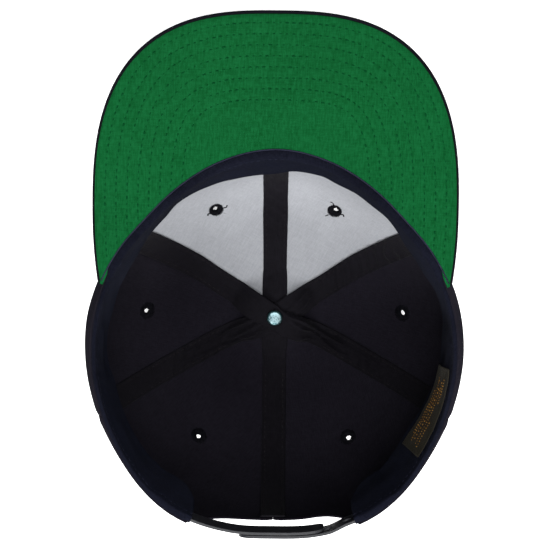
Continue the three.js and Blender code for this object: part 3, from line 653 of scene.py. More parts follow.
rivetMetal, strapPlastic = rivetMaterial(), strapMaterial()
floorSize = 6
floorMesh = bpy.data.meshes.new("floor")
floorCorners = [(x * floorSize, y * floorSize, -0.0004) for x, y in ((-1, -1), (1, -1), (1, 1), (-1, 1))]
floorMesh.from_pydata(floorCorners, [], [(0, 1, 2, 3)])
floorMesh.materials.append(floorMaterial())
floor = bpy.data.objects.new("floor", floorMesh)
scene.collection.objects.link(floor)
print("cap: materials made")


# Geometry Nodes building
def nodeTree(name, inputs):
    tree = bpy.data.node_groups.new(name, "GeometryNodeTree")
    tree.interface.new_socket("Geometry", in_out="INPUT", socket_type="NodeSocketGeometry")
    for label, kind, value in inputs:
        socket = tree.interface.new_socket(label, in_out="INPUT", socket_type=kind)
        if value is not None:
            socket.default_value = value
    tree.interface.new_socket("Geometry", in_out="OUTPUT", socket_type="NodeSocketGeometry")
    return tree, tree.nodes.new("NodeGroupInput"), tree.nodes.new("NodeGroupOutput")


def closeTree(tree, given, put, geometry):
    real = addNode(tree, "GeometryNodeRealizeInstances", Geometry=geometry)
    smooth = addNode(tree, "GeometryNodeSetShadeSmooth", Geometry=real.outputs[0])
    done = addNode(tree, "GeometryNodeSetMaterial", Geometry=smooth.outputs[0],
                   Material=given.outputs["Material"])
    tree.links.new(done.outputs[0], put.inputs[0])
    return tree


def turnTo(tree, axis, vector, pivot="AUTO", **more):
    return addNode(tree, "FunctionNodeAlignRotationToVector", {"axis": axis, "pivot_axis": pivot}, Vector=vector,
                   **more).outputs[0]


def wayUp(tree):
    return addNode(tree, "GeometryNodeInputNamedAttribute", {"data_type": "FLOAT_VECTOR"}, Name="lie").outputs[0]


def evenPath(tree, given, step):
    curve = addNode(tree, "GeometryNodeMeshToCurve", Mesh=given.outputs["Geometry"])
    return addNode(tree, "GeometryNodeResampleCurve", {"mode": "LENGTH"}, Curve=curve.outputs[0],
                   Length=given.outputs[step]).outputs[0]


def circle(tree, count, radius):
    return addNode(tree, "GeometryNodeCurvePrimitiveCircle", Resolution=count, Radius=radius).outputs[0]


# Random number within a share of one
def aboutOne(tree, given, share):
    change = addNode(tree, "FunctionNodeRandomValue", {"data_type": "FLOAT"}, Seed=given.outputs["Seed"])
    tree.links.new(maths(tree, "SUBTRACT", 1.0, given.outputs[share]), change.inputs[2])
    tree.links.new(maths(tree, "ADD", 1.0, given.outputs[share]), change.inputs[3])
    return change.outputs[1]


# Small shape laid again and again along a path, turned to the path and to the surface under it
def buildStitches():
    tree, given, put = nodeTree("stitchesAlongPath", [
        ("Pitch", floatKind, 0.003), ("Length", floatKind, 0.0024), ("Width", floatKind, 0.0005),
        ("Height", floatKind, 0.0004), ("Unevenness", floatKind, 0.15), ("Seed", "NodeSocketInt", 1),
        ("Material", "NodeSocketMaterial", None)])
    tangent = tree.nodes.new("GeometryNodeInputTangent")
    along = turnTo(tree, "X", tangent.outputs[0])
    turned = turnTo(tree, "Z", wayUp(tree), "X", Rotation=along)
    size = addNode(tree, "ShaderNodeCombineXYZ", X=given.outputs["Length"], Y=given.outputs["Width"],
                   Z=given.outputs["Height"])
    scaled = addNode(tree, "ShaderNodeVectorMath", {"operation": "SCALE"}, i0=size.outputs[0],
                     Scale=aboutOne(tree, given, "Unevenness"))
    bead = addNode(tree, "GeometryNodeMeshUVSphere", Segments=6, Rings=4, Radius=0.5)
    laidOut = addNode(tree, "GeometryNodeInstanceOnPoints", Points=evenPath(tree, given, "Pitch"),
                      Instance=bead.outputs[0], Rotation=turned, Scale=scaled.outputs[0])
    return closeTree(tree, given, put, laidOut.outputs[0])


# Round bead along a path
def buildPiping():
    tree, given, put = nodeTree("pipingAlongPath", [
        ("Radius", floatKind, 0.0008), ("Step", floatKind, 0.0015), ("Sides", "NodeSocketInt", 8),
        ("Material", "NodeSocketMaterial", None)])
    tube = addNode(tree, "GeometryNodeCurveToMesh", Curve=evenPath(tree, given, "Step"),
                   Profile_Curve=circle(tree, given.outputs["Sides"], given.outputs["Radius"]))
    tube.inputs["Fill Caps"].default_value = True
    return closeTree(tree, given, put, tube.outputs[0])


# Buttonhole threads wound round the edge of a hole, about the z axis
def buildEyelet():
    tree, given, put = nodeTree("threadsRoundHole", [
        ("Ring Radius", floatKind, 0.0026), ("Reach", floatKind, 0.0013), ("Depth", floatKind, 0.001),
        ("Thread Radius", floatKind, 0.00022), ("Threads", "NodeSocketInt", 40), ("Raggedness", floatKind, 0.12),
        ("Seed", "NodeSocketInt", 1), ("Material", "NodeSocketMaterial", None)])
    tangent = tree.nodes.new("GeometryNodeInputTangent")
    turned = turnTo(tree, "Y", tangent.outputs[0])
    upright = turnTo(tree, "Z", (0, 0, 1), "Y", Rotation=turned)
    flat = addNode(tree, "ShaderNodeCombineXYZ", X=given.outputs["Reach"], Y=given.outputs["Depth"], Z=1.0)
    oval = addNode(tree, "GeometryNodeTransform", Geometry=circle(tree, 10, 1.0), Scale=flat.outputs[0])
    stood = addNode(tree, "GeometryNodeTransform", Geometry=oval.outputs[0], Rotation=(math.pi / 2, 0, 0))
    thread = addNode(tree, "GeometryNodeCurveToMesh", Curve=stood.outputs[0],
                     Profile_Curve=circle(tree, 5, given.outputs["Thread Radius"]))
    longer = addNode(tree, "ShaderNodeCombineXYZ", X=aboutOne(tree, given, "Raggedness"), Y=1.0, Z=1.0)
    wound = addNode(tree, "GeometryNodeInstanceOnPoints", Instance=thread.outputs[0], Rotation=upright,
                    Points=circle(tree, given.outputs["Threads"], given.outputs["Ring Radius"]),
                    Scale=longer.outputs[0])
    return closeTree(tree, given, put, wound.outputs[0])


# Domed pegs on the points of a strap, turned to the vector they carry
def buildPegs():
    tree, given, put = nodeTree("strapPegs", [
        ("Radius", floatKind, 0.0024), ("Length", floatKind, 0.0024), ("Dome", floatKind, 0.0004),
        ("Material", "NodeSocketMaterial", None)])
    shaft = addNode(tree, "GeometryNodeMeshCylinder", Vertices=24, Radius=given.outputs["Radius"],
                    Depth=given.outputs["Length"])
    half = maths(tree, "MULTIPLY", given.outputs["Length"], 0.5)
    raised = addNode(tree, "ShaderNodeCombineXYZ", Z=half)
    ball = addNode(tree, "GeometryNodeMeshUVSphere", Segments=24, Rings=8, Radius=1.0)
    squash = addNode(tree, "ShaderNodeCombineXYZ", X=given.outputs["Radius"], Y=given.outputs["Radius"],
                     Z=given.outputs["Dome"])
    dome = addNode(tree, "GeometryNodeTransform", Geometry=ball.outputs[0], Translation=raised.outputs[0],
                   Scale=squash.outputs[0])
    joined = addNode(tree, "GeometryNodeJoinGeometry")
    tree.links.new(dome.outputs[0], joined.inputs[0])
    tree.links.new(shaft.outputs[0], joined.inputs[0])
    stood = addNode(tree, "GeometryNodeInstanceOnPoints", Points=given.outputs["Geometry"],
                    Instance=joined.outputs[0], Rotation=turnTo(tree, "Z", wayUp(tree)))
    return closeTree(tree, given, put, stood.outputs[0])


stitchTree, pipingTree, eyeletTree, pegTree = buildStitches(), buildPiping(), buildEyelet(), buildPegs()


# Mesh of paths, in millimetres, with the way up of the surface under each point
def pathMesh(name, paths, loose=False):
    points, ups, edges = [], [], []
    for line, up in paths:
        start = len(points)
        points.extend((line * metre + axisPlace).tolist())
        ups.extend(np.broadcast_to(up, line.shape).reshape(-1, 3).tolist())
        if not loose:
            edges.extend((start + k, start + k + 1) for k in range(len(line) - 1))
    mesh = bpy.data.meshes.new(name)
    mesh.from_pydata(points or [(0, 0, 0)], edges, [])
    lie = mesh.attributes.new("lie", "FLOAT_VECTOR", "POINT")
    lie.data.foreach_set("vector", np.array(ups or [(0, 0, 1)], np.float32).reshape(-1))
    return mesh


# Keeps what a modifier makes as a plain mesh
def keepResult(piece, modifier):
    ready = piece.evaluated_get(bpy.context.evaluated_depsgraph_get())
    result = bpy.data.meshes.new_from_object(ready)
    piece.modifiers.remove(modifier)
    piece.data = result


# Runs a node tree on a mesh and keeps the result as a plain mesh
def grown(name, mesh, tree, settings):
    piece = bpy.data.objects.new(name, mesh)
    scene.collection.objects.link(piece)
    modifier = piece.modifiers.new("grow", "NODES")
    modifier.node_group = tree
    for item in tree.interface.items_tree:
        if item.in_out == "INPUT" and item.name in settings:
            modifier[item.identifier] = settings[item.name]
    keepResult(piece, modifier)
    piece.data.name = name
    bpy.data.meshes.remove(mesh)
    return piece


def sew(name, paths, thread, sizes, slot):
    settings = {"Pitch": sizes["pitch"] * metre, "Length": sizes["length"] * metre,
                "Width": sizes["width"] * metre, "Height": sizes["height"] * metre,
                "Unevenness": sizes.get("uneven", 0.12), "Seed": sizes.get("seed", 1), "Material": thread}
    return settlePiece(grown(name, pathMesh(name + "Path", paths), stitchTree, settings), slot)


# Path on a surface and its way up, from a function of a place and a depth
def surfacePath(place, depth, lift=0.05):
    line, under = place(depth), place(depth + 0.5)
    up = unitVector(line - under)
    return line + up * lift, up


print("cap: node trees built")

# Crown panels
sides = [("Right", "right", 1), ("Left", "left", -1)]
panels = [
    {"name": "front", "seam": 0, "eyeletShare": 0.5, "eyeletAlong": 0.485, "stretch": 1.45, "lined": True},
    {"name": "side", "seam": 1, "eyeletShare": 0.51, "eyeletAlong": 0.455, "stretch": 1.1, "lined": False},
    {"name": "back", "seam": 2, "eyeletShare": 0.5, "eyeletAlong": 0.455, "stretch": 1.0, "lined": False},
]
panelLook = {"columns": 60, "rows": 110, "seamRound": 1.1, "rimRound": 0.9, "hole": 2.3}
seamGap = 0.02
fitFrom = 0.6  # the back panels' rows close up to the cut-out from here


def eyeletPlace(panel, sign):
    seams = crown["seams"]
    return sign * mix(seams[panel["seam"]], seams[panel["seam"] + 1], panel["eyeletShare"]), panel["eyeletAlong"]


# Grid between two seams: angles and places along the profile, with room for the eyelet
def panelGrid(panel, sign, tip, end, columns, rows, hole):
    low = crown["seams"][panel["seam"]] * sign
    high = crown["seams"][panel["seam"] + 1] * sign
    start = float(alongAtReach(np.array((low + high) / 2), tip))
    eyeAngle, eyeAlong = eyeletPlace(panel, sign)
    u, v = crowded(columns, 0.8), crowded(rows, 0.7)
    acrossEye = rimReach(np.array(eyeAngle)) * profileReach(eyeAngle, eyeAlong) * toRadians
    spokes = np.array([0.9, 1.8, 2.6, 3.4, 4.2])
    spokes = np.concatenate([-spokes[::-1], [0], spokes])
    eyeShare = (eyeAngle - low) / (high - low)
    u = np.concatenate([u, eyeShare + spokes / acrossEye / abs(high - low)])
    if panel["name"] == "back":
        reach = np.array([crown["archHalfWidth"] * math.cos(k * toRadians) for k in range(0, 62, 4)])
        u = np.concatenate([u, (sign * angleAtWidth(reach, 180) - low) / (high - low)])
    u = np.sort(u[(u >= 0) & (u <= 1)])
    u = u[np.concatenate([[True], np.diff(u) > 0.0009])]
    u[-1] = 1
    beside = crownAt(eyeAngle, eyeAlong + 0.01, 0) - crownAt(eyeAngle, eyeAlong - 0.01, 0)
    perAlong = np.linalg.norm(beside) / 0.02
    v = np.concatenate([v, (eyeAlong - start + spokes / perAlong) / (end - start)])
    v = np.sort(v)
    v = v[np.concatenate([[True], np.diff(v) > 0.0012])]
    v[-1] = 1
    along, share = np.meshgrid(mix(start, end, v), u, indexing="ij")
    plainAngle = mix(low, high, share)
    if panel["name"] == "back":
        stop = np.minimum(alongAtArch(plainAngle[0]), end)
        fit = (along - fitFrom) / (end - fitFrom)
        along = np.where(along > fitFrom, fitFrom + fit * (stop[None, :] - fitFrom), along)
    reach = rimReach(plainAngle) * profileReach(plainAngle, along)
    margin = np.minimum(seamGap / reach / toRadians, abs(high - low) * 0.3) * np.sign(high - low)
    angle = mix(low + margin, high - margin, share)
    # Cells round the eyelet are drawn out to a round hole
    dx, dy = (angle - eyeAngle) * acrossEye, (along - eyeAlong) * perAlong
    away = np.hypot(dx, dy / panel["stretch"])
    radius = np.maximum(away, 1e-6)
    inside = radius < hole
    push = np.where(inside, hole / radius, 1)
    angle = eyeAngle + (angle - eyeAngle) * push
    along = eyeAlong + (along - eyeAlong) * push
    keep = ~(inside[:-1, :-1] & inside[1:, :-1] & inside[:-1, 1:] & inside[1:, 1:])
    fromSeam = np.minimum(share, 1 - share) * abs(high - low) * toRadians * reach
    return {"angle": angle, "along": along, "share": share, "keep": keep, "fromSeam": fromSeam,
            "middle": (low + high) / 2, "pinch": np.exp(-(away * push / 3.6) ** 4)}


def clothPlace(grid, inset):
    points = crownAt(grid["angle"], grid["along"], inset)
    steps = np.linalg.norm(np.diff(points, axis=0), axis=-1)
    down = np.concatenate([np.zeros((1, points.shape[1])), np.cumsum(steps, axis=0)])
    reach = rimReach(grid["angle"]) * profileReach(grid["angle"], grid["along"])
    across = (grid["angle"] - grid["middle"]) * toRadians * reach
    return points, down, np.stack([across, down], -1) * metre


def makePanel(panel, side, sign):
    grid = panelGrid(panel, sign, 2.2, 1.0, panelLook["columns"], panelLook["rows"], panelLook["hole"])
    thick = crown["panelThickness"]
    _, down, cloth = clothPlace(grid, 0)
    fromRim = down[-1][None, :] - down
    share = np.minimum(edgeShare(grid["fromSeam"] + 0.05, panelLook["seamRound"]),
                       edgeShare(fromRim + 0.02, panelLook["rimRound"]))
    wave = crownWave(grid["angle"], grid["along"])
    seamDip = 0.25 * np.exp(-(grid["fromSeam"] / 2.0) ** 2)
    ridge = 0.1 + 0.1 * softNoise(down / 6, grid["share"] * 3, 9)
    ridge = ridge * np.exp(-((grid["fromSeam"] - 4.5) / 2) ** 2)
    outerInset = wave + thick / 2 * (1 - share) + seamDip - ridge
    innerInset = wave + thick - thick / 2 * (1 - share)
    if panel["lined"]:  # pressed thin by the eyelet's thread
        outerInset, innerInset = outerInset + 0.45 * grid["pinch"], innerInset - 0.05 * grid["pinch"]
    outer = crownAt(grid["angle"], grid["along"], outerInset)
    inner = crownAt(grid["angle"], grid["along"], innerInset)
    rows, columns = grid["angle"].shape
    piece = wallPiece(f"panel{panel['name'].capitalize()}{side}", outer, inner,
                      gridFaces(rows, columns, grid["keep"]), cloth, clothOf["crownTwill"])
    settlePiece(piece, "crown_cloth", f"panel_{panel['name']}_{side.lower()}")
    cut = crownAt(grid["angle"], grid["along"], thick / 2)


for side, _, sign in sides:
    for panel in panels:
        makePanel(panel, side, sign)
print("cap: crown panels made")

# Stiffener behind the two front panels
for side, lower, sign in sides:
    grid = panelGrid(panels[0], sign, crown["buckramTip"], crown["linerEnd"], 56, 90, panelLook["hole"])
    points, down, cloth = clothPlace(grid, bareInset)
    wave = crownWave(grid["angle"], grid["along"])
    fine = 0.05 * softNoise(cloth[..., 0] * 180, cloth[..., 1] * 180, 12)
    pressed = bareInset + wave - 0.3 * grid["pinch"]
    outer = crownAt(grid["angle"], grid["along"], pressed)
    inner = crownAt(grid["angle"], grid["along"],
                    pressed + crown["buckramThickness"] + fine - 0.45 * grid["pinch"])
    rows, columns = grid["angle"].shape
    piece = wallPiece(f"stiffener{side}", outer, inner, gridFaces(rows, columns, grid["keep"]), cloth,
                      clothOf["stiffener"])
    settlePiece(piece, "buckram", f"buckram_{lower}")
print("cap: stiffener made")

# Seam tapes: folds run along or across an arm, measured from the button in millimetres
tape = {"width": 13, "thickness": 1, "gap": 0.45, "stitchInset": 0.13}
tapeFolds = [
    {"arm": "backLeft", "from": 5, "to": 36, "across": -3.6, "slant": 0.12, "width": 0.9, "rise": 1.7},
    {"arm": "backLeft", "from": 3, "to": 28, "across": 0.2, "slant": 0.2, "width": 0.9, "rise": 1.5},
    {"arm": "backLeft", "from": 6, "to": 32, "across": 3.8, "slant": 0.1, "width": 0.8, "rise": 1.3},
    {"arm": "backLeft", "from": 26, "to": 62, "across": 3.4, "slant": -0.12, "width": 1.1, "rise": 1.1},
    {"arm": "backLeft", "from": 30, "to": 58, "across": -0.6, "slant": -0.14, "width": 0.9, "rise": 0.9},
    {"arm": "backRight", "from": 4, "to": 44, "across": 3.0, "slant": -0.13, "width": 1.0, "rise": 1.9},
    {"arm": "backRight", "from": 8, "to": 40, "across": -0.4, "slant": -0.16, "width": 0.9, "rise": 1.5},
    {"arm": "backRight", "from": 14, "to": 50, "across": -3.6, "slant": 0.06, "width": 0.9, "rise": 1.2},
    {"arm": "backRight", "from": 36, "to": 70, "across": 1.8, "slant": -0.06, "width": 1.1, "rise": 0.9},
    {"arm": "frontRight", "from": 9, "to": 24, "across": 2.4, "slant": -0.3, "width": 0.8, "rise": 1.4},
    {"arm": "frontRight", "from": 8, "to": 22, "across": -1.6, "slant": -0.35, "width": 0.8, "rise": 1.2},
    {"arm": "frontLeft", "from": 12, "to": 34, "across": -2.4, "slant": 0.12, "width": 1.1, "rise": 0.8},
    {"arm": "frontCentre", "from": 20, "to": 84, "across": 0.2, "slant": 0.004, "width": 0.7, "rise": 0.45},
    {"arm": "backCentre", "from": 24, "to": 90, "across": 0.0, "slant": 0.0, "width": 2.4, "rise": 0.5},
]
crossPleats = [
    {"arm": "frontRight", "from": 32, "to": 78, "pitch": 6.0, "rise": 1.0, "slant": 0.5},
    {"arm": "frontCentre", "from": 40, "to": 76, "pitch": 8.0, "rise": 0.5, "slant": 0.8},
    {"arm": "backLeft", "from": 28, "to": 70, "pitch": 7.0, "rise": 0.6, "slant": -0.6},
    {"arm": "backRight", "from": 38, "to": 76, "pitch": 7.5, "rise": 0.6, "slant": 0.6},
]
tapes = [
    {"name": "Centre", "front": 0, "back": 180, "level": 0, "arms": ("frontCentre", "backCentre")},
    {"name": "Right", "front": crown["seams"][1], "back": -crown["seams"][2], "level": 1,
     "arms": ("frontRight", "backLeft")},
    {"name": "Left", "front": -crown["seams"][1], "back": crown["seams"][2], "level": 2,
     "arms": ("frontLeft", "backRight")},
]
closest = min(b - a for a, b in zip(crown["seams"], crown["seams"][1:]))
tapeCrossing = tape["width"] / 2 / math.tan(closest / 2 * toRadians) + 1


def tapeRumple(strip, way, across, reach):
    arms = np.where(way < 0, strip["arms"][0], strip["arms"][1])
    rise = 0.1 * softNoise(reach / 5 + 9 * strip["level"], across / 4, 21)
    nearStitch = np.exp(-((np.abs(across) - 4.8) / 1.2) ** 2)
    rise = rise - 0.16 * nearStitch + 0.12 * nearStitch * np.sin(reach * 2 * np.pi / 5.5)
    for fold in tapeFolds:
        middle = (fold["from"] + fold["to"]) / 2
        line = across - fold["across"] - fold["slant"] * (reach - middle)
        line = line + 0.6 * softNoise(reach / 7, 0 * reach + fold["from"], 5)
        part = ease(fold["from"] - 4, fold["from"] + 5, reach)
        part = part * (1 - ease(fold["to"] - 6, fold["to"] + 6, reach))
        ridge = fold["rise"] * part * np.exp(-(line / fold["width"]) ** 2)
        rise = rise + np.where(arms == fold["arm"], ridge, 0)
    for pleat in crossPleats:
        part = ease(pleat["from"] - 5, pleat["from"] + 6, reach)
        part = part * (1 - ease(pleat["to"] - 6, pleat["to"] + 5, reach))
        turn = (reach + pleat["slant"] * across + 2 * softNoise(reach / 9, across / 9, 31)) * 2 * np.pi
        ripple = (0.5 + 0.5 * np.sin(turn / pleat["pitch"])) ** 2
        rise = rise + np.where(arms == pleat["arm"], pleat["rise"] * part * ripple, 0)
    return np.maximum(rise, -0.2)


def tapePoint(strip, way, v, depth):
    way, v = np.broadcast_arrays(np.asarray(way, float), np.asarray(v, float))
    isFront = way < 0
    armAngle = np.where(isFront, strip["front"], strip["back"])
    base = np.where(isFront, linedInset, bareInset)
    stacked = linedInset + strip["level"] * (tape["thickness"] + tape["gap"])
    along = np.maximum(np.abs(way), 1e-4)
    reach = rimReach(armAngle) * profileReach(armAngle, along)
    across = (v - 0.5) * tape["width"] * (1 + 0.1 * ease(30, 80, reach) * isFront)
    blend = ease(-0.1, 0.1, way)
    front, back = strip["front"] * toRadians, strip["back"] * toRadians
    ahead = unitVector(np.stack([-np.sin(front) * (1 - blend) + np.sin(back) * blend,
                                 -np.cos(front) * (1 - blend) + np.cos(back) * blend], -1))
    x = along * np.sin(armAngle * toRadians) - across * along / reach * ahead[..., 1]
    y = along * np.cos(armAngle * toRadians) + across * along / reach * ahead[..., 0]
    inset = mix(stacked, base, ease(tapeCrossing, tapeCrossing * 2, reach))
    angle, place = np.arctan2(x, y) / toRadians, np.hypot(x, y)
    rumple = tapeRumple(strip, way, across, reach)
    lifted = inset + crownWave(angle, place) + depth + np.where(depth > 0.3, rumple, 0)
    return crownAt(angle, place, lifted)


for strip in tapes:
    stops = [crown["linerEnd"]] * 2
    if strip["back"] == 180:
        stops[1] = float(alongAtArch(np.array(180.0))) - 0.006
    arm = np.linspace(0.012, 1, 150)
    ways = np.concatenate([-(arm * stops[0])[::-1], arm * stops[1]])
    v = crowded(25, 0.5)
    way, across = np.meshgrid(ways, v, indexing="ij")
    fromEdge = np.minimum(across, 1 - across) * tape["width"]
    share = edgeShare(fromEdge + 0.04, 0.8)
    half = tape["thickness"] / 2
    outer = tapePoint(strip, way, across, half * (1 - share) * 0.4)
    inner = tapePoint(strip, way, across, half + half * share)
    steps = np.linalg.norm(np.diff(inner[:, 9], axis=0), axis=-1)
    down = np.concatenate([[0], np.cumsum(steps)])
    cloth = np.stack([across * tape["width"], np.broadcast_to(down[:, None], across.shape)], -1) * metre
    rows, columns = way.shape
    piece = wallPiece(f"tape{strip['name']}", outer, inner, gridFaces(rows, columns), cloth,
                      clothOf["tapeCotton"])
    settlePiece(piece, "seam_tape", f"seam_tape_{strip['name'].lower()}")
    rowsSewn = []
    for v in (tape["stitchInset"], 1 - tape["stitchInset"]):
        for low, high in ((-stops[0], -0.2), (0.2, stops[1])):
            line = np.linspace(low, high, 160)
            rowsSewn.append(surfacePath(lambda depth: tapePoint(strip, line, v, 1.5 - depth), 0.5, 0.06))
    sew(f"tapeStitches{strip['name']}", rowsSewn, duskThread,
        {"pitch": 2.9, "length": 2.2, "width": 0.42, "height": 0.34, "seed": 3}, "seam_tape")
print("cap: seam tapes made")

# Sweatband and its label
band = {"thickness": 1.5, "height": 33, "endCorner": 15, "endHeight": 12, "columns": 420, "rows": 34,
        "seamDrop": 3.4}
bandLean = {  # how far the free edge stands in from the rim, round the button
    "angle": [-180, -144, -126, -105, -95, -81, -64, -55, -46, -35, -25, -6, 5,
              18, 25, 33, 42, 52, 61, 70, 85, 95, 118, 131, 160, 180],
    "inward": [8, 7.7, 6.2, 4.5, 3.9, 5, 3.6, 1.7, 1.5, 2.8, 5, 8, 7,
               4.2, 4, 2.6, 1.5, 1.7, 4.2, 3.7, 2.2, 3.5, 8, 10.5, 8.5, 8],
}
strap = {"thickness": 1.5, "height": 20, "drop": 1.5, "tail": 11, "pegEnd": 26.7, "holeEnd": -17.3, "step": 12,
         "pitch": 10, "pegs": 4, "holes": 6, "pegRadius": 2.4, "pegProud": 0.6, "margin": 8.5, "corner": 5}
bandEnd = float(angleAtWidth(crown["archHalfWidth"] - 1, 180))
strapStart = float(angleAtWidth(crown["archHalfWidth"] + strap["tail"], 180))


perDegree = 1.65  # millimetres round the rim


def bandFace(angle, drop):
    room = (strap["thickness"] + crown["clearance"]) * ease(strapStart - 8, strapStart - 2, np.abs(angle))
    inward = readTable(bandLean["angle"], bandLean["inward"], angle)
    return bareInset + room + drop / band["height"] * inward


def bandDepth(angle):
    left = (bandEnd - np.abs(angle)) * toRadians * crown["rimBackReach"] / band["endCorner"]
    corner = np.sqrt(np.clip(1 - np.maximum(0, 1 - left) ** 2, 0, 1))
    return mix(band["endHeight"], band["height"], corner)


def bandPoint(angle, drop, depth):
    plan = rimPlan(angle, bandFace(angle, drop) + depth)
    height = rimHeight(angle) - drop
    return laid(np.stack([plan[..., 0], plan[..., 1], height], -1))


def bandRumple(angle, drop):
    around = angle * perDegree
    slow = 1.2 * softNoise(around / 13 + 30, drop / 14, 41) * ease(4, 16, drop)
    puckers = 0.3 * softNoise(around / 3.4 + 70, drop / 9, 43) * np.exp(-((drop - 6) / 5) ** 2)
    groove = -0.32 * np.exp(-((drop - band["seamDrop"]) / 0.7) ** 2)
    hem = 0.12 * np.exp(-((drop - band["height"] + 2.2) / 1.6) ** 2)
    return slow + puckers + groove + hem


angles = np.linspace(-bandEnd, bandEnd, band["columns"])
share, angle = np.meshgrid(crowded(band["rows"], 0.6), angles, indexing="ij")
drop = share * bandDepth(angle)
fromEdge = np.minimum(drop, bandDepth(angle) - drop)
fromEnd = (bandEnd - np.abs(angle)) * toRadians * crown["rimBackReach"]
roundShare = np.minimum(edgeShare(fromEdge + 0.03, 0.9), edgeShare(fromEnd + 0.03, 0.9))
half = band["thickness"] / 2
rumple = bandRumple(angle, drop)
outer = bandPoint(angle, drop, half - half * roundShare)
inner = bandPoint(angle, drop, half + half * roundShare + rumple * ease(0, 1, fromEdge + 0.2))
cloth = np.stack([angle * perDegree, drop], -1) * metre
sweatband = wallPiece("sweatbandCloth", outer, inner, gridFaces(*angle.shape), cloth, clothOf["bandCloth"])
settlePiece(sweatband, "sweatband_cloth", "sweatband")
cut = bandPoint(angle, drop, half)


def bandSkin(line, drop, depth):
    return bandPoint(line, drop, band["thickness"] + 0.5 - depth + bandRumple(line, drop))


# Strip folded over the rim; outside is below zero because it starts in from the edge
binding = {"outside": -0.7, "front": 1.9, "inside": 0.3, "rise": 0.6, "down": 1.7, "thickness": 0.5}


def bindingPoint(angle, v, depth):
    nearVisor = 1 - ease(earAngle - 7, earAngle - 1, np.abs(angle))
    start = -binding["outside"] - binding["front"] * nearVisor
    stop = bandFace(angle, 0) + band["thickness"] + binding["inside"]
    inset = mix(start, stop, ease(0, 1, v) * 0.35 + v * 0.65)
    outerDrop = mix(0.5, -0.1, nearVisor) * (1 - ease(0, 0.25, v))
    innerDrop = binding["down"] * ease(0.72, 1, v) ** 2
    hump = binding["rise"] + 0.15 * softNoise(angle / 2.5, v * 2, 71)
    hump = hump * np.sin(np.pi * np.clip(v, 0, 1)) ** 0.6
    hump = hump - 1.6 * (1 - ease(0, 2.2, bandEnd + 0.2 - np.abs(angle)))
    plan = rimPlan(angle, inset)
    height = rimHeight(angle) - outerDrop - innerDrop + hump - depth
    return laid(np.stack([plan[..., 0], plan[..., 1], height], -1))


v, angle = np.meshgrid(np.linspace(0, 1, 12), np.linspace(-bandEnd - 0.2, bandEnd + 0.2, band["columns"]),
                       indexing="ij")
cloth = np.stack([angle * perDegree, v * 5], -1) * metre
cut = bindingPoint(angle, v, 0)
bindingPiece = wallPiece("rimBinding", cut, bindingPoint(angle, v, binding["thickness"]),
                         gridFaces(*angle.shape), cloth, clothOf["bindingCloth"])
settlePiece(bindingPiece, "sweatband_cloth")
# Thin navy cord along the front of the rim, laid in the crevice between green cloth and binding as a dark line of
# painted shade
turn = np.linspace(-earAngle + 1, earAngle - 1, 500)
shadeCordPlan = rimPlan(turn, 0.55 - binding["front"])
shadeCord = laid(np.stack([shadeCordPlan[:, 0], shadeCordPlan[:, 1], rimHeight(turn) + 0.12], -1))
settlePiece(grown("rimShadeCord", pathMesh("shadeCordPath", [(shadeCord, (0, 0, 1))]), pipingTree,
                  {"Radius": 0.00042, "Step": 0.0015, "Sides": 6, "Material": navyThread}), "sweatband_cloth")
line = np.linspace(-bandEnd + 0.6, bandEnd - 0.6, 700)
seamRow = surfacePath(lambda depth: bandSkin(line, band["seamDrop"], depth), 0.5, 0.0)
sew("bandStitches", [seamRow], navyThread,
    {"pitch": 3.0, "length": 2.3, "width": 0.5, "height": 0.42, "seed": 7}, "sweatband_cloth")
print("cap: sweatband made")

label = {"start": 103, "length": 45, "height": 23.4, "drop": 2.6, "thickness": 0.6, "curl": 0.3}
labelReach = float(rimReach(np.array(label["start"]))
                   - readTable(bandLean["angle"], bandLean["inward"], label["start"]))
labelEnd = label["start"] + label["length"] / labelReach / toRadians


def labelPoint(u, v, depth):
    angle = mix(label["start"], labelEnd, u)
    drop = label["drop"] + v * label["height"]
    base = band["thickness"] + crown["clearance"]
    corner = label["curl"] * (np.abs(2 * u - 1) ** 8 + 0.4 * np.abs(2 * v - 1) ** 8)
    ripple = 0.12 * softNoise(u * 9, v * 5, 51)
    return bandPoint(angle, drop, base + depth + corner + np.maximum(bandRumple(angle, drop), 0) + ripple)


v, u = np.meshgrid(crowded(30, 0.5), crowded(60, 0.5), indexing="ij")
fromEdge = np.minimum(np.minimum(u, 1 - u) * label["length"], np.minimum(v, 1 - v) * label["height"])
roundShare = edgeShare(fromEdge + 0.05, 0.6)
half = label["thickness"] / 2
cloth = np.stack([u * label["length"], v * label["height"]], -1) * metre
labelPiece = wallPiece("labelCloth", labelPoint(u, v, half - half * roundShare),
                       labelPoint(u, v, half + half * roundShare), gridFaces(*u.shape), cloth,
                       clothOf["labelSatin"])
settlePiece(labelPiece, "label_weave", "label")

# Plain woven bars in rows
labelRows = [
    {"v": 0.29, "from": 0.14, "to": 0.4, "pitch": 1.5, "length": 0.75, "width": 2.0},
    {"v": 0.31, "from": 0.64, "to": 0.92, "pitch": 1.5, "length": 0.75, "width": 2.0},
    {"v": 0.42, "from": 0.18, "to": 0.9, "pitch": 1.35, "length": 0.65, "width": 1.9},
    {"v": 0.55, "from": 0.26, "to": 0.86, "pitch": 1.9, "length": 1.05, "width": 3.2},
    {"v": 0.68, "from": 0.14, "to": 0.9, "pitch": 1.35, "length": 0.65, "width": 1.9},
    {"v": 0.78, "from": 0.3, "to": 0.82, "pitch": 1.5, "length": 0.75, "width": 1.6},
]
for number, row in enumerate(labelRows):
    t = np.linspace(row["from"], row["to"], 90)
    path = surfacePath(lambda depth: labelPoint(t, row["v"], label["thickness"] + 0.5 - depth), 0.5, 0.02)
    sew(f"labelMarks{number}", [path], goldThread,
        {"pitch": row["pitch"], "length": row["length"], "width": row["width"], "height": 0.5, "uneven": 0.25,
         "seed": 11 + number}, "label_weave")
print("cap: label made")

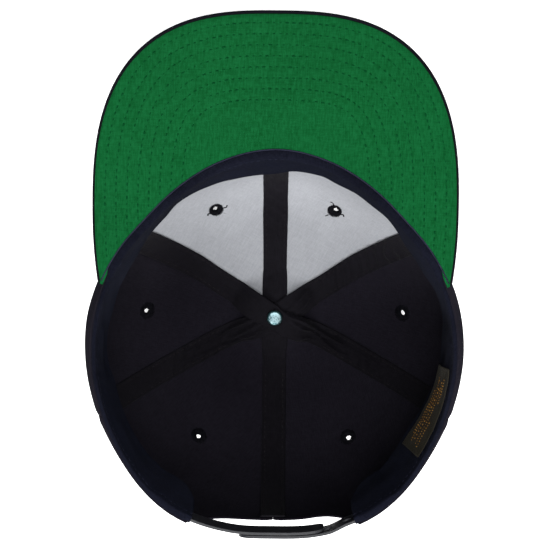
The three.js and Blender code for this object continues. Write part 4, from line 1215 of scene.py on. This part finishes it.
# Visor
visorThickness = visor["board"] + crown["clearance"] + visor["cloth"]


def evenly(points, count):
    lengths = np.concatenate([[0], np.cumsum(np.linalg.norm(np.diff(points, axis=0), axis=1))])
    at = np.linspace(0, lengths[-1], count + 1)
    return np.stack([np.interp(at, lengths, points[:, k]) for k in range(2)], 1)


def visorEdge(count):
    front = crown["rimFrontReach"] + visor["length"]
    power = 2 / visor["squareness"]
    tip = rimPlan(earAngle, -crown["clearance"] - visor["earTip"])
    turn = np.linspace(0, math.pi / 2, 200)
    curve = np.stack([visor["halfWidth"] * np.sin(turn) ** power,
                      mix(visor["shoulder"], front, np.maximum(0, np.cos(turn)) ** power)], 1)
    share = np.linspace(0, 1, 40)[1:]
    side = np.stack([mix(visor["halfWidth"], tip[0], share ** 2), mix(visor["shoulder"], tip[1], share)], 1)
    return evenly(np.concatenate([curve, side]), count)


visorHalf = 90
rightEdge = visorEdge(visorHalf)
wholeEdge = np.concatenate([(rightEdge * np.array([-1, 1]))[:0:-1], rightEdge])
stationAngles = np.linspace(-1, 1, 2 * visorHalf + 1) * earAngle


def visorPoint(way, margin, drop):
    rim = rimPlan(stationAngles, 0)
    apart = rimPlan(stationAngles, visor["tuck"]) - rim
    inner = rim * profileReach(stationAngles, alongAtDrop(drop))[:, None] + apart
    width = np.linalg.norm(wholeEdge - inner, axis=1)
    stop = np.minimum(margin, width * 0.45) / width
    at = inner + (wholeEdge - inner) * (way * (1 - stop))[:, None]
    return visorPlace(at, drop)


def visorPlace(at, drop):
    height = crown["depth"] + visorRise(at[..., 0], at[..., 1]) - drop
    return laid(np.stack([at[..., 0], at[..., 1], height], -1))


rowGap = {"first": 6.2, "pitch": 5.45, "rows": 8, "inside": 3.5}


def edgeOffset(distance):
    along = np.gradient(wholeEdge, axis=0)
    along = along / np.linalg.norm(along, axis=1, keepdims=True)
    inwards = np.stack([along[:, 1], -along[:, 0]], 1)
    moved = wholeEdge + inwards * distance
    nearest = np.linalg.norm(moved[:, None] - wholeEdge[None], axis=2).min(1)
    angle = np.arctan2(moved[:, 0], moved[:, 1]) / toRadians
    clear = np.hypot(moved[:, 0], moved[:, 1]) > rimReach(angle) + rowGap["inside"]
    good = clear & (nearest > distance - 0.25) & (moved[:, 1] > 0)
    return moved[good]


stitchLines = []
for number in range(rowGap["rows"]):
    points = edgeOffset(rowGap["first"] + rowGap["pitch"] * number)
    stitchLines.append(evenly(points, 300))

# Green cloth, drawn down a little along each row of stitches
ways = np.linspace(0, 1, 64)
margin = visor["wrap"] + crown["clearance"]
face = np.stack([visorPoint(np.full(len(stationAngles), w), margin, 0.0) for w in ways])
under = np.stack([visorPoint(np.full(len(stationAngles), w), margin, visor["cloth"]) for w in ways])
up = unitVector(face - under)


def planOf(points):
    flat = points - np.array([0, 0, sunk])
    return np.stack([flat[..., 0], flat[..., 1] * cosineLean - flat[..., 2] * sineLean], -1)


plan = planOf(face)
fromEdge = np.linalg.norm(plan[:, :, None] - wholeEdge[None, None], axis=3).min(2)
rowPlace = (fromEdge - rowGap["first"]) / rowGap["pitch"]
lastRow = rowGap["first"] + rowGap["pitch"] * (rowGap["rows"] - 1)
inRows = (fromEdge > rowGap["first"] - 2) & (fromEdge < lastRow + 2)
groove = np.where(inRows, 0.16 * np.exp(-((rowPlace - np.round(rowPlace)) / 0.16) ** 2), 0)
edgeRound = np.minimum(edgeShare(ways[:, None] * 40 + 0.05, 0.7),
                       edgeShare(np.maximum(fromEdge - margin, 0) + 0.05, 0.8))
wavy = 0.06 * softNoise(plan[..., 0] / 9 + 30, plan[..., 1] / 9, 61)
top = face - up * (groove + 0.5 * (1 - edgeRound) * visor["cloth"] + 0.05 + wavy)[..., None]
bottom = under + up * (0.4 * (1 - edgeRound) * visor["cloth"])[..., None]
greenPiece = wallPiece("visorGreen", top, bottom, gridFaces(*fromEdge.shape), plan * metre,
                       clothOf["greenCloth"])
settlePiece(greenPiece, "under_visor_cloth", "visor_under")

# Board and cover: flat under the green cloth, with an edge that comes up round it
seat, wrap, thick = visor["cloth"] + crown["clearance"], visor["wrap"], visorThickness
ring = [(w, 0.0, seat) for w in np.linspace(0, 0.97, 12)] + [(1.0, wrap, seat), (1.0, wrap, 0.25)]
quarter = [math.pi / 2 * k / 10 for k in range(11)]
ring += [(1.0, wrap * 0.62 * (1 - math.sin(turn)), 0.81 * (1 - math.cos(turn))) for turn in quarter]
ring += [(1.0, 1 - math.cos(turn), thick - 1.2 * (1 - math.sin(turn))) for turn in quarter]
ring += [(w, 0.0, thick) for w in np.linspace(0.97, 0, 40)]
section = np.stack([visorPoint(np.full(len(stationAngles), w), m, d) for w, m, d in ring], 1)
stations, size = section.shape[:2]
index = np.arange(stations * size).reshape(stations, size)
faces = [[index[i, j], index[i, (j + 1) % size], index[i + 1, (j + 1) % size], index[i + 1, j]]
         for i in range(stations - 1) for j in range(size)]
for last, turn in ((0, 1), (stations - 1, -1)):
    faces.append([int(k) for k in index[last][::turn]])
points = section.reshape(-1, 3) * metre + axisPlace
volume = sum(points[a] @ (np.cross(points[b], points[c]) + np.cross(points[c], points[d]))
             for a, b, c, d in faces[:-2])
if volume < 0:
    faces = [face[::-1] for face in faces]
visorPiece = meshObject("visorCover", points, faces, clothOf["visorTwill"], points[:, :2], 50)
settlePiece(visorPiece, "visor_cover", "visor_top")

greenRows, navyRows = [], []
for line in stitchLines:
    on, below = visorPlace(line, 0.0), visorPlace(line, 1.0)
    lift = unitVector(on - below)
    greenRows.append((on - lift * 0.16, lift))
    navyRows.append((visorPlace(line, visorThickness) - lift * 0.02, -lift))
sew("visorStitchesGreen", greenRows, greenThread,
    {"pitch": 3.3, "length": 1.7, "width": 0.75, "height": 0.4, "uneven": 0.3, "seed": 17},
    "under_visor_cloth")
sew("visorStitchesTop", navyRows, navyThread,
    {"pitch": 3.3, "length": 2.5, "width": 0.5, "height": 0.4, "seed": 19}, "visor_cover")
print("cap: visor made")

# Rows of stitches outside the crown, either side of each seam and round the cut-out
outsideStitch = {"fromSeam": 2.6, "fromArch": 3.2}
outsideRows = []
for seam in crown["seams"] + [-seam for seam in crown["seams"][2:0:-1]]:
    stop = float(alongAtArch(np.array(180.0))) - 0.02 if seam == 180 else 0.985
    along = np.linspace(0.16, stop, 200)
    for offset in (-outsideStitch["fromSeam"], outsideStitch["fromSeam"]):
        turn = seam + offset / (rimReach(np.array(float(seam))) * profileReach(seam, along)) / toRadians
        wave = crownWave(turn, along)
        outsideRows.append(surfacePath(lambda depth: crownAt(turn, along, wave + depth - 0.5 + 0.08), 0.5, 0.0))
archTurn = np.linspace(8, 172, 160) * toRadians
archReach = crown["archHalfWidth"] + outsideStitch["fromArch"]
archX, archDrop = archReach * np.cos(archTurn), archReach * np.sin(archTurn)
archAlong = crossing(np.zeros(160), np.ones(160), lambda a: readTable(
    profile["along"], profile["depth"], a) < 1 - archDrop / crown["depth"])
archWide = rimReach(np.full(160, 170.0)) * profileReach(170, archAlong)
archAngle = 180 - np.arcsin(np.clip(archX / archWide, -1, 1)) / toRadians
archAngle = np.where(archAngle > 180, archAngle - 360, archAngle)
outsideRows.append(surfacePath(
    lambda depth: crownAt(archAngle, archAlong, crownWave(archAngle, archAlong) + depth - 0.5), 0.5, 0.0))
sew("crownStitches", outsideRows, navyThread,
    {"pitch": 2.9, "length": 2.2, "width": 0.45, "height": 0.36, "seed": 23}, "crown_cloth")
print("cap: crown stitches made")

# Eyelets
eyelet = {"radius": 4.8, "hole": 1.5, "proud": 0.7, "threads": 31, "threadRadius": 0.3}
looseEnds = {
    ("front", 1): [((0.6, -4.0), (1.3, -5.6), (0.5, -7.2)), ((3.1, 2.4), (4.4, 3.5), (5.6, 3.0)),
                   ((-3.6, 1.0), (-4.8, 1.9), (-5.4, 1.2))],
    ("front", -1): [((-1.4, -3.9), (-2.2, -5.0), (-1.6, -6.4)), ((-3.4, -1.6), (-4.9, -2.3), (-5.9, -1.5)),
                    ((3.5, 0.6), (4.7, 1.5), (5.3, 0.8))],
}


def eyeletFrame(panel, sign):
    angle, along = (np.array(float(item)) for item in eyeletPlace(panel, sign))
    origin = crownAt(angle, along, crownWave(angle, along))
    outwards = unitVector(origin - crownAt(angle, along, 2.0))
    side = unitVector(np.cross([0, 0, 1], outwards))
    up = np.cross(outwards, side)
    place = np.eye(4)
    place[:3, 0], place[:3, 1], place[:3, 2] = side, up, outwards
    place[:3, 3] = origin * metre + axisPlace
    return Matrix(place)


for side, lower, sign in sides:
    for panel in panels:
        top, low = (0.4, bareInset + 0.3) if panel["lined"] else (0.0, crown["panelThickness"])
        mid = (eyelet["radius"] + eyelet["hole"]) / 2
        reach = (eyelet["radius"] - eyelet["hole"]) / 2
        seedMesh = bpy.data.meshes.new("seed")
        seedMesh.from_pydata([(0, 0, 0)], [], [])
        name = f"eyelet{panel['name'].capitalize()}{side}"
        piece = grown(name, seedMesh, eyeletTree, {
            "Ring Radius": mid * metre, "Reach": (reach - 0.1) * metre,
            "Depth": ((low - top) / 2 + eyelet["proud"]) * metre, "Thread Radius": eyelet["threadRadius"] * metre,
            "Threads": eyelet["threads"], "Raggedness": 0.24, "Seed": 3 + 7 * panel["seam"] + sign,
            "Material": blackThread})
        place = eyeletFrame(panel, sign)
        longer = Matrix.Diagonal((1, panel["stretch"], 1, 1))
        piece.data.transform(place @ Matrix.Translation((0, 0, -(top + low) / 2 * metre)) @ longer)
        settlePiece(piece, "eyelet_thread", f"eyelet_{panel['name']}_{lower}")
        ends = looseEnds.get((panel["name"], sign))
        if ends:
            lines = []
            for end in ends:
                knots = np.array([(x, y * panel["stretch"], -low - 0.75 - 0.12 * k)
                                  for k, (x, y) in enumerate(end)])
                t = np.linspace(0, 2, 14)
                bent = np.stack([np.interp(t, range(3), knots[:, k]) for k in range(3)], 1)
                bent[1:-1] = (bent[:-2] + bent[1:-1] + bent[2:]) / 3
                world = np.array([place @ Vector(point * metre) for point in bent])
                lines.append(((world - axisPlace) / metre, (0, 0, 1)))
            settlePiece(grown(f"looseThread{side}", pathMesh("loosePath", lines), pipingTree,
                              {"Radius": 0.0004, "Step": 0.0005, "Sides": 5, "Material": blackThread}),
                        "eyelet_thread")
print("cap: eyelets made")


# Turned pieces: pairs of radius and height
def turnedPiece(name, pairs, sides, material, wobble=None):
    pairs = np.array(pairs, float)
    turn = np.arange(sides) / sides * 2 * math.pi
    rings = []
    for radius, height in pairs[1:-1]:
        r = radius * (1 + (wobble(turn, radius, height) if wobble else 0))
        rings.append(np.stack([r * np.cos(turn), r * np.sin(turn), np.full(sides, height)], 1))
    points = np.concatenate([[[0, 0, pairs[0, 1]]], *rings, [[0, 0, pairs[-1, 1]]]])
    faces, last = [], len(points) - 1
    for k in range(sides):
        n = (k + 1) % sides
        faces.append([0, 1 + n, 1 + k])
        for i in range(len(rings) - 1):
            a, b = 1 + i * sides, 1 + (i + 1) * sides
            faces.append([a + k, a + n, b + n, b + k])
        a = 1 + (len(rings) - 1) * sides
        faces.append([last, a + k, a + n])
    return meshObject(name, points * metre + axisPlace, faces, material, points[:, :2] * metre, 45)


def smoothPairs(pairs, count):
    pairs = np.array(pairs, float)
    steps = np.concatenate([[0], np.cumsum(np.hypot(*np.diff(pairs, axis=0).T))])
    at = np.linspace(0, steps[-1], count)
    return np.stack([readTable(steps, pairs[:, 0], at), readTable(steps, pairs[:, 1], at)], 1)


rivet = {"thickness": 1.7, "stem": 1.6}
stackHeight = linedInset + 3 * tape["thickness"] + 2 * tape["gap"] + crown["clearance"]
seatHeight = crown["buttonHeight"] + crown["clearance"] + stackHeight
foot = crown["buttonHeight"] - 2 + crown["clearance"]
crest = seatHeight + rivet["thickness"]
head = smoothPairs([(4.18, seatHeight + 0.1), (4.3, seatHeight + 0.5), (4.16, seatHeight + 0.95),
                    (3.7, seatHeight + 1.3), (3.0, seatHeight + 1.5), (2.0, crest - 0.06),
                    (1.0, crest - 0.02), (0.05, crest)], 26)
stem = [(0, foot), (1.5, foot), (rivet["stem"], foot + 0.15), (rivet["stem"], seatHeight), (3.9, seatHeight)]
rivetPiece = turnedPiece("rivetHead", [*stem, *head.tolist(), (0, crest)], 64, rivetMetal)
settlePiece(rivetPiece, "rivet_steel", "rivet")

button = {"flat": 4.6, "puckers": 0.006}
shape = smoothPairs([(0.05, 0), (3.0, 0.0), (button["flat"], 0.04), (6.2, 0.45), (7.4, 1.4),
                     (crown["buttonRadius"], 2.7), (7.7, 3.7), (6.9, 4.1), (5.6, 4.2)], 30)
buttonPiece = turnedPiece("buttonCover", [(0, 0), *shape.tolist(), (1.9, 4.2), (1.9, 2.2), (0, 2.2)], 64,
                          clothOf["visorTwill"],
                          lambda turn, radius, height: button["puckers"] * np.sin(turn * 14) * (height > 2.4))
settlePiece(buttonPiece, "visor_cover", "button")
print("cap: rivet and button made")


# Straps
def strapPoint(x, drop, rise, depth):
    x = np.asarray(x, float)
    angle = np.where(x < 0, -1, 1) * angleAtWidth(np.abs(x), 180)
    plan = rimPlan(angle, bareInset - rise + depth)
    height = np.broadcast_to(crown["depth"] - drop, plan[..., 0].shape)
    return laid(np.stack([plan[..., 0], plan[..., 1], height], -1))


def outerRise(x):
    start = strap["pegEnd"] + 1
    return (strap["thickness"] + crown["clearance"]) * (1 - ease(start, start + strap["step"], x))


# Flat strap outline with holes, triangulated, then bent round the back of the cap
def makeStrap(name, start, end, rise, holes, node):
    low, high = min(start, end), max(start, end)
    top, bottom, corner = strap["drop"], strap["drop"] + strap["height"], strap["corner"]
    freeHigh = end > start
    outline = []
    for cx, cy, first, isFree in ((high, top, -90, freeHigh), (high, bottom, 0, freeHigh),
                                  (low, bottom, 90, not freeHigh), (low, top, 180, not freeHigh)):
        r = corner if isFree else 0.6
        mx = cx - r if cx == high else cx + r
        my = cy + r if cy == top else cy - r
        for k in range(0, 91, 15 if isFree else 45):
            turn = (first + k) * toRadians
            outline.append((mx + r * math.cos(turn), my + r * math.sin(turn)))
    dense = []
    for k, point in enumerate(outline):
        after = outline[(k + 1) % len(outline)]
        count = max(1, int(math.dist(point, after) / 1.6))
        dense += [tuple(mix(np.array(point), np.array(after), i / count)) for i in range(count)]
    middle = top + strap["height"] / 2
    holeRadius = strap["pegRadius"] + 0.3
    turns = [k * math.pi / 14 for k in range(28)]
    rings = [[(x + holeRadius * math.cos(turn), middle + holeRadius * math.sin(turn)) for turn in turns]
             for x in holes]
    straight = strap["height"] / 2 - corner + 2
    fill = [(x, y) for x in np.arange(low + 1.2, high - 1, 1.6) for y in np.arange(top + 1.3, bottom - 1, 1.6)
            if all(math.hypot(x - hx, y - middle) > strap["pegRadius"] + 1.1 for hx in holes)
            and (x < high - corner or abs(y - middle) < straight or not freeHigh)
            and (x > low + corner or abs(y - middle) < straight or freeHigh)]
    points = dense + [p for ring in rings for p in ring] + fill
    edges, first = [(k, (k + 1) % len(dense)) for k in range(len(dense))], len(dense)
    for ring in rings:
        edges += [(first + k, first + (k + 1) % len(ring)) for k in range(len(ring))]
        first += len(ring)
    made = delaunay_2d_cdt([Vector(p) for p in points], edges, [], 1, 1e-6)
    flat = np.array([tuple(p) for p in made[0]])
    triangles = np.array([tuple(t) for t in made[2] if len(t) == 3])
    centre = flat[triangles].mean(1)
    solid = np.ones(len(triangles), bool)
    for hx in holes:
        solid &= np.hypot(centre[:, 0] - hx, centre[:, 1] - middle) > holeRadius - 0.03
    triangles = triangles[solid]
    outer = strapPoint(flat[:, 0], flat[:, 1], rise(flat[:, 0]), 0.0)
    inner = strapPoint(flat[:, 0], flat[:, 1], rise(flat[:, 0]), strap["thickness"])
    piece = wallPiece(name, outer, inner, triangles, flat * metre, strapPlastic, 40)
    bevel = piece.modifiers.new("softEdge", "BEVEL")
    bevel.width, bevel.segments = 0.00022, 2
    bevel.limit_method, bevel.angle_limit = "ANGLE", math.radians(50)
    keepResult(piece, bevel)
    return settlePiece(piece, "strap_plastic", node)


pegPlaces = [strap["pegEnd"] - strap["margin"] - k * strap["pitch"] for k in range(strap["pegs"])]
firstHole = [x for x in pegPlaces if x - strap["pegRadius"] > strap["holeEnd"]][-1]
holePlaces = [firstHole + k * strap["pitch"] for k in range(strap["holes"])]
holePlaces = [x for x in holePlaces if x < crown["archHalfWidth"] - strap["pegRadius"]]
sewnEnd = crown["archHalfWidth"] + strap["tail"]
makeStrap("strapPegs", -sewnEnd, strap["pegEnd"], lambda x: 0 * x, [], "strap_pegs")
makeStrap("strapHoles", sewnEnd, strap["holeEnd"], outerRise, holePlaces, "strap_holes")
pegLength = crown["clearance"] + strap["thickness"] + strap["pegProud"]
pegX, middleDrop = np.array(pegPlaces), strap["drop"] + strap["height"] / 2
pegFoot = strapPoint(pegX, middleDrop, 0.0, 0.0)
pegOut = unitVector(pegFoot - strapPoint(pegX, middleDrop, 0.0, 1.0))
pegMiddle = pegFoot + pegOut * (pegLength / 2 - 0.35)
pegPiece = grown("strapPegHeads", pathMesh("pegPoints", [(pegMiddle, pegOut)], loose=True), pegTree,
                 {"Radius": strap["pegRadius"] * metre, "Length": (pegLength + 0.3) * metre, "Dome": 0.0004,
                  "Material": strapPlastic})
settlePiece(pegPiece, "strap_plastic")
print("cap: straps made")
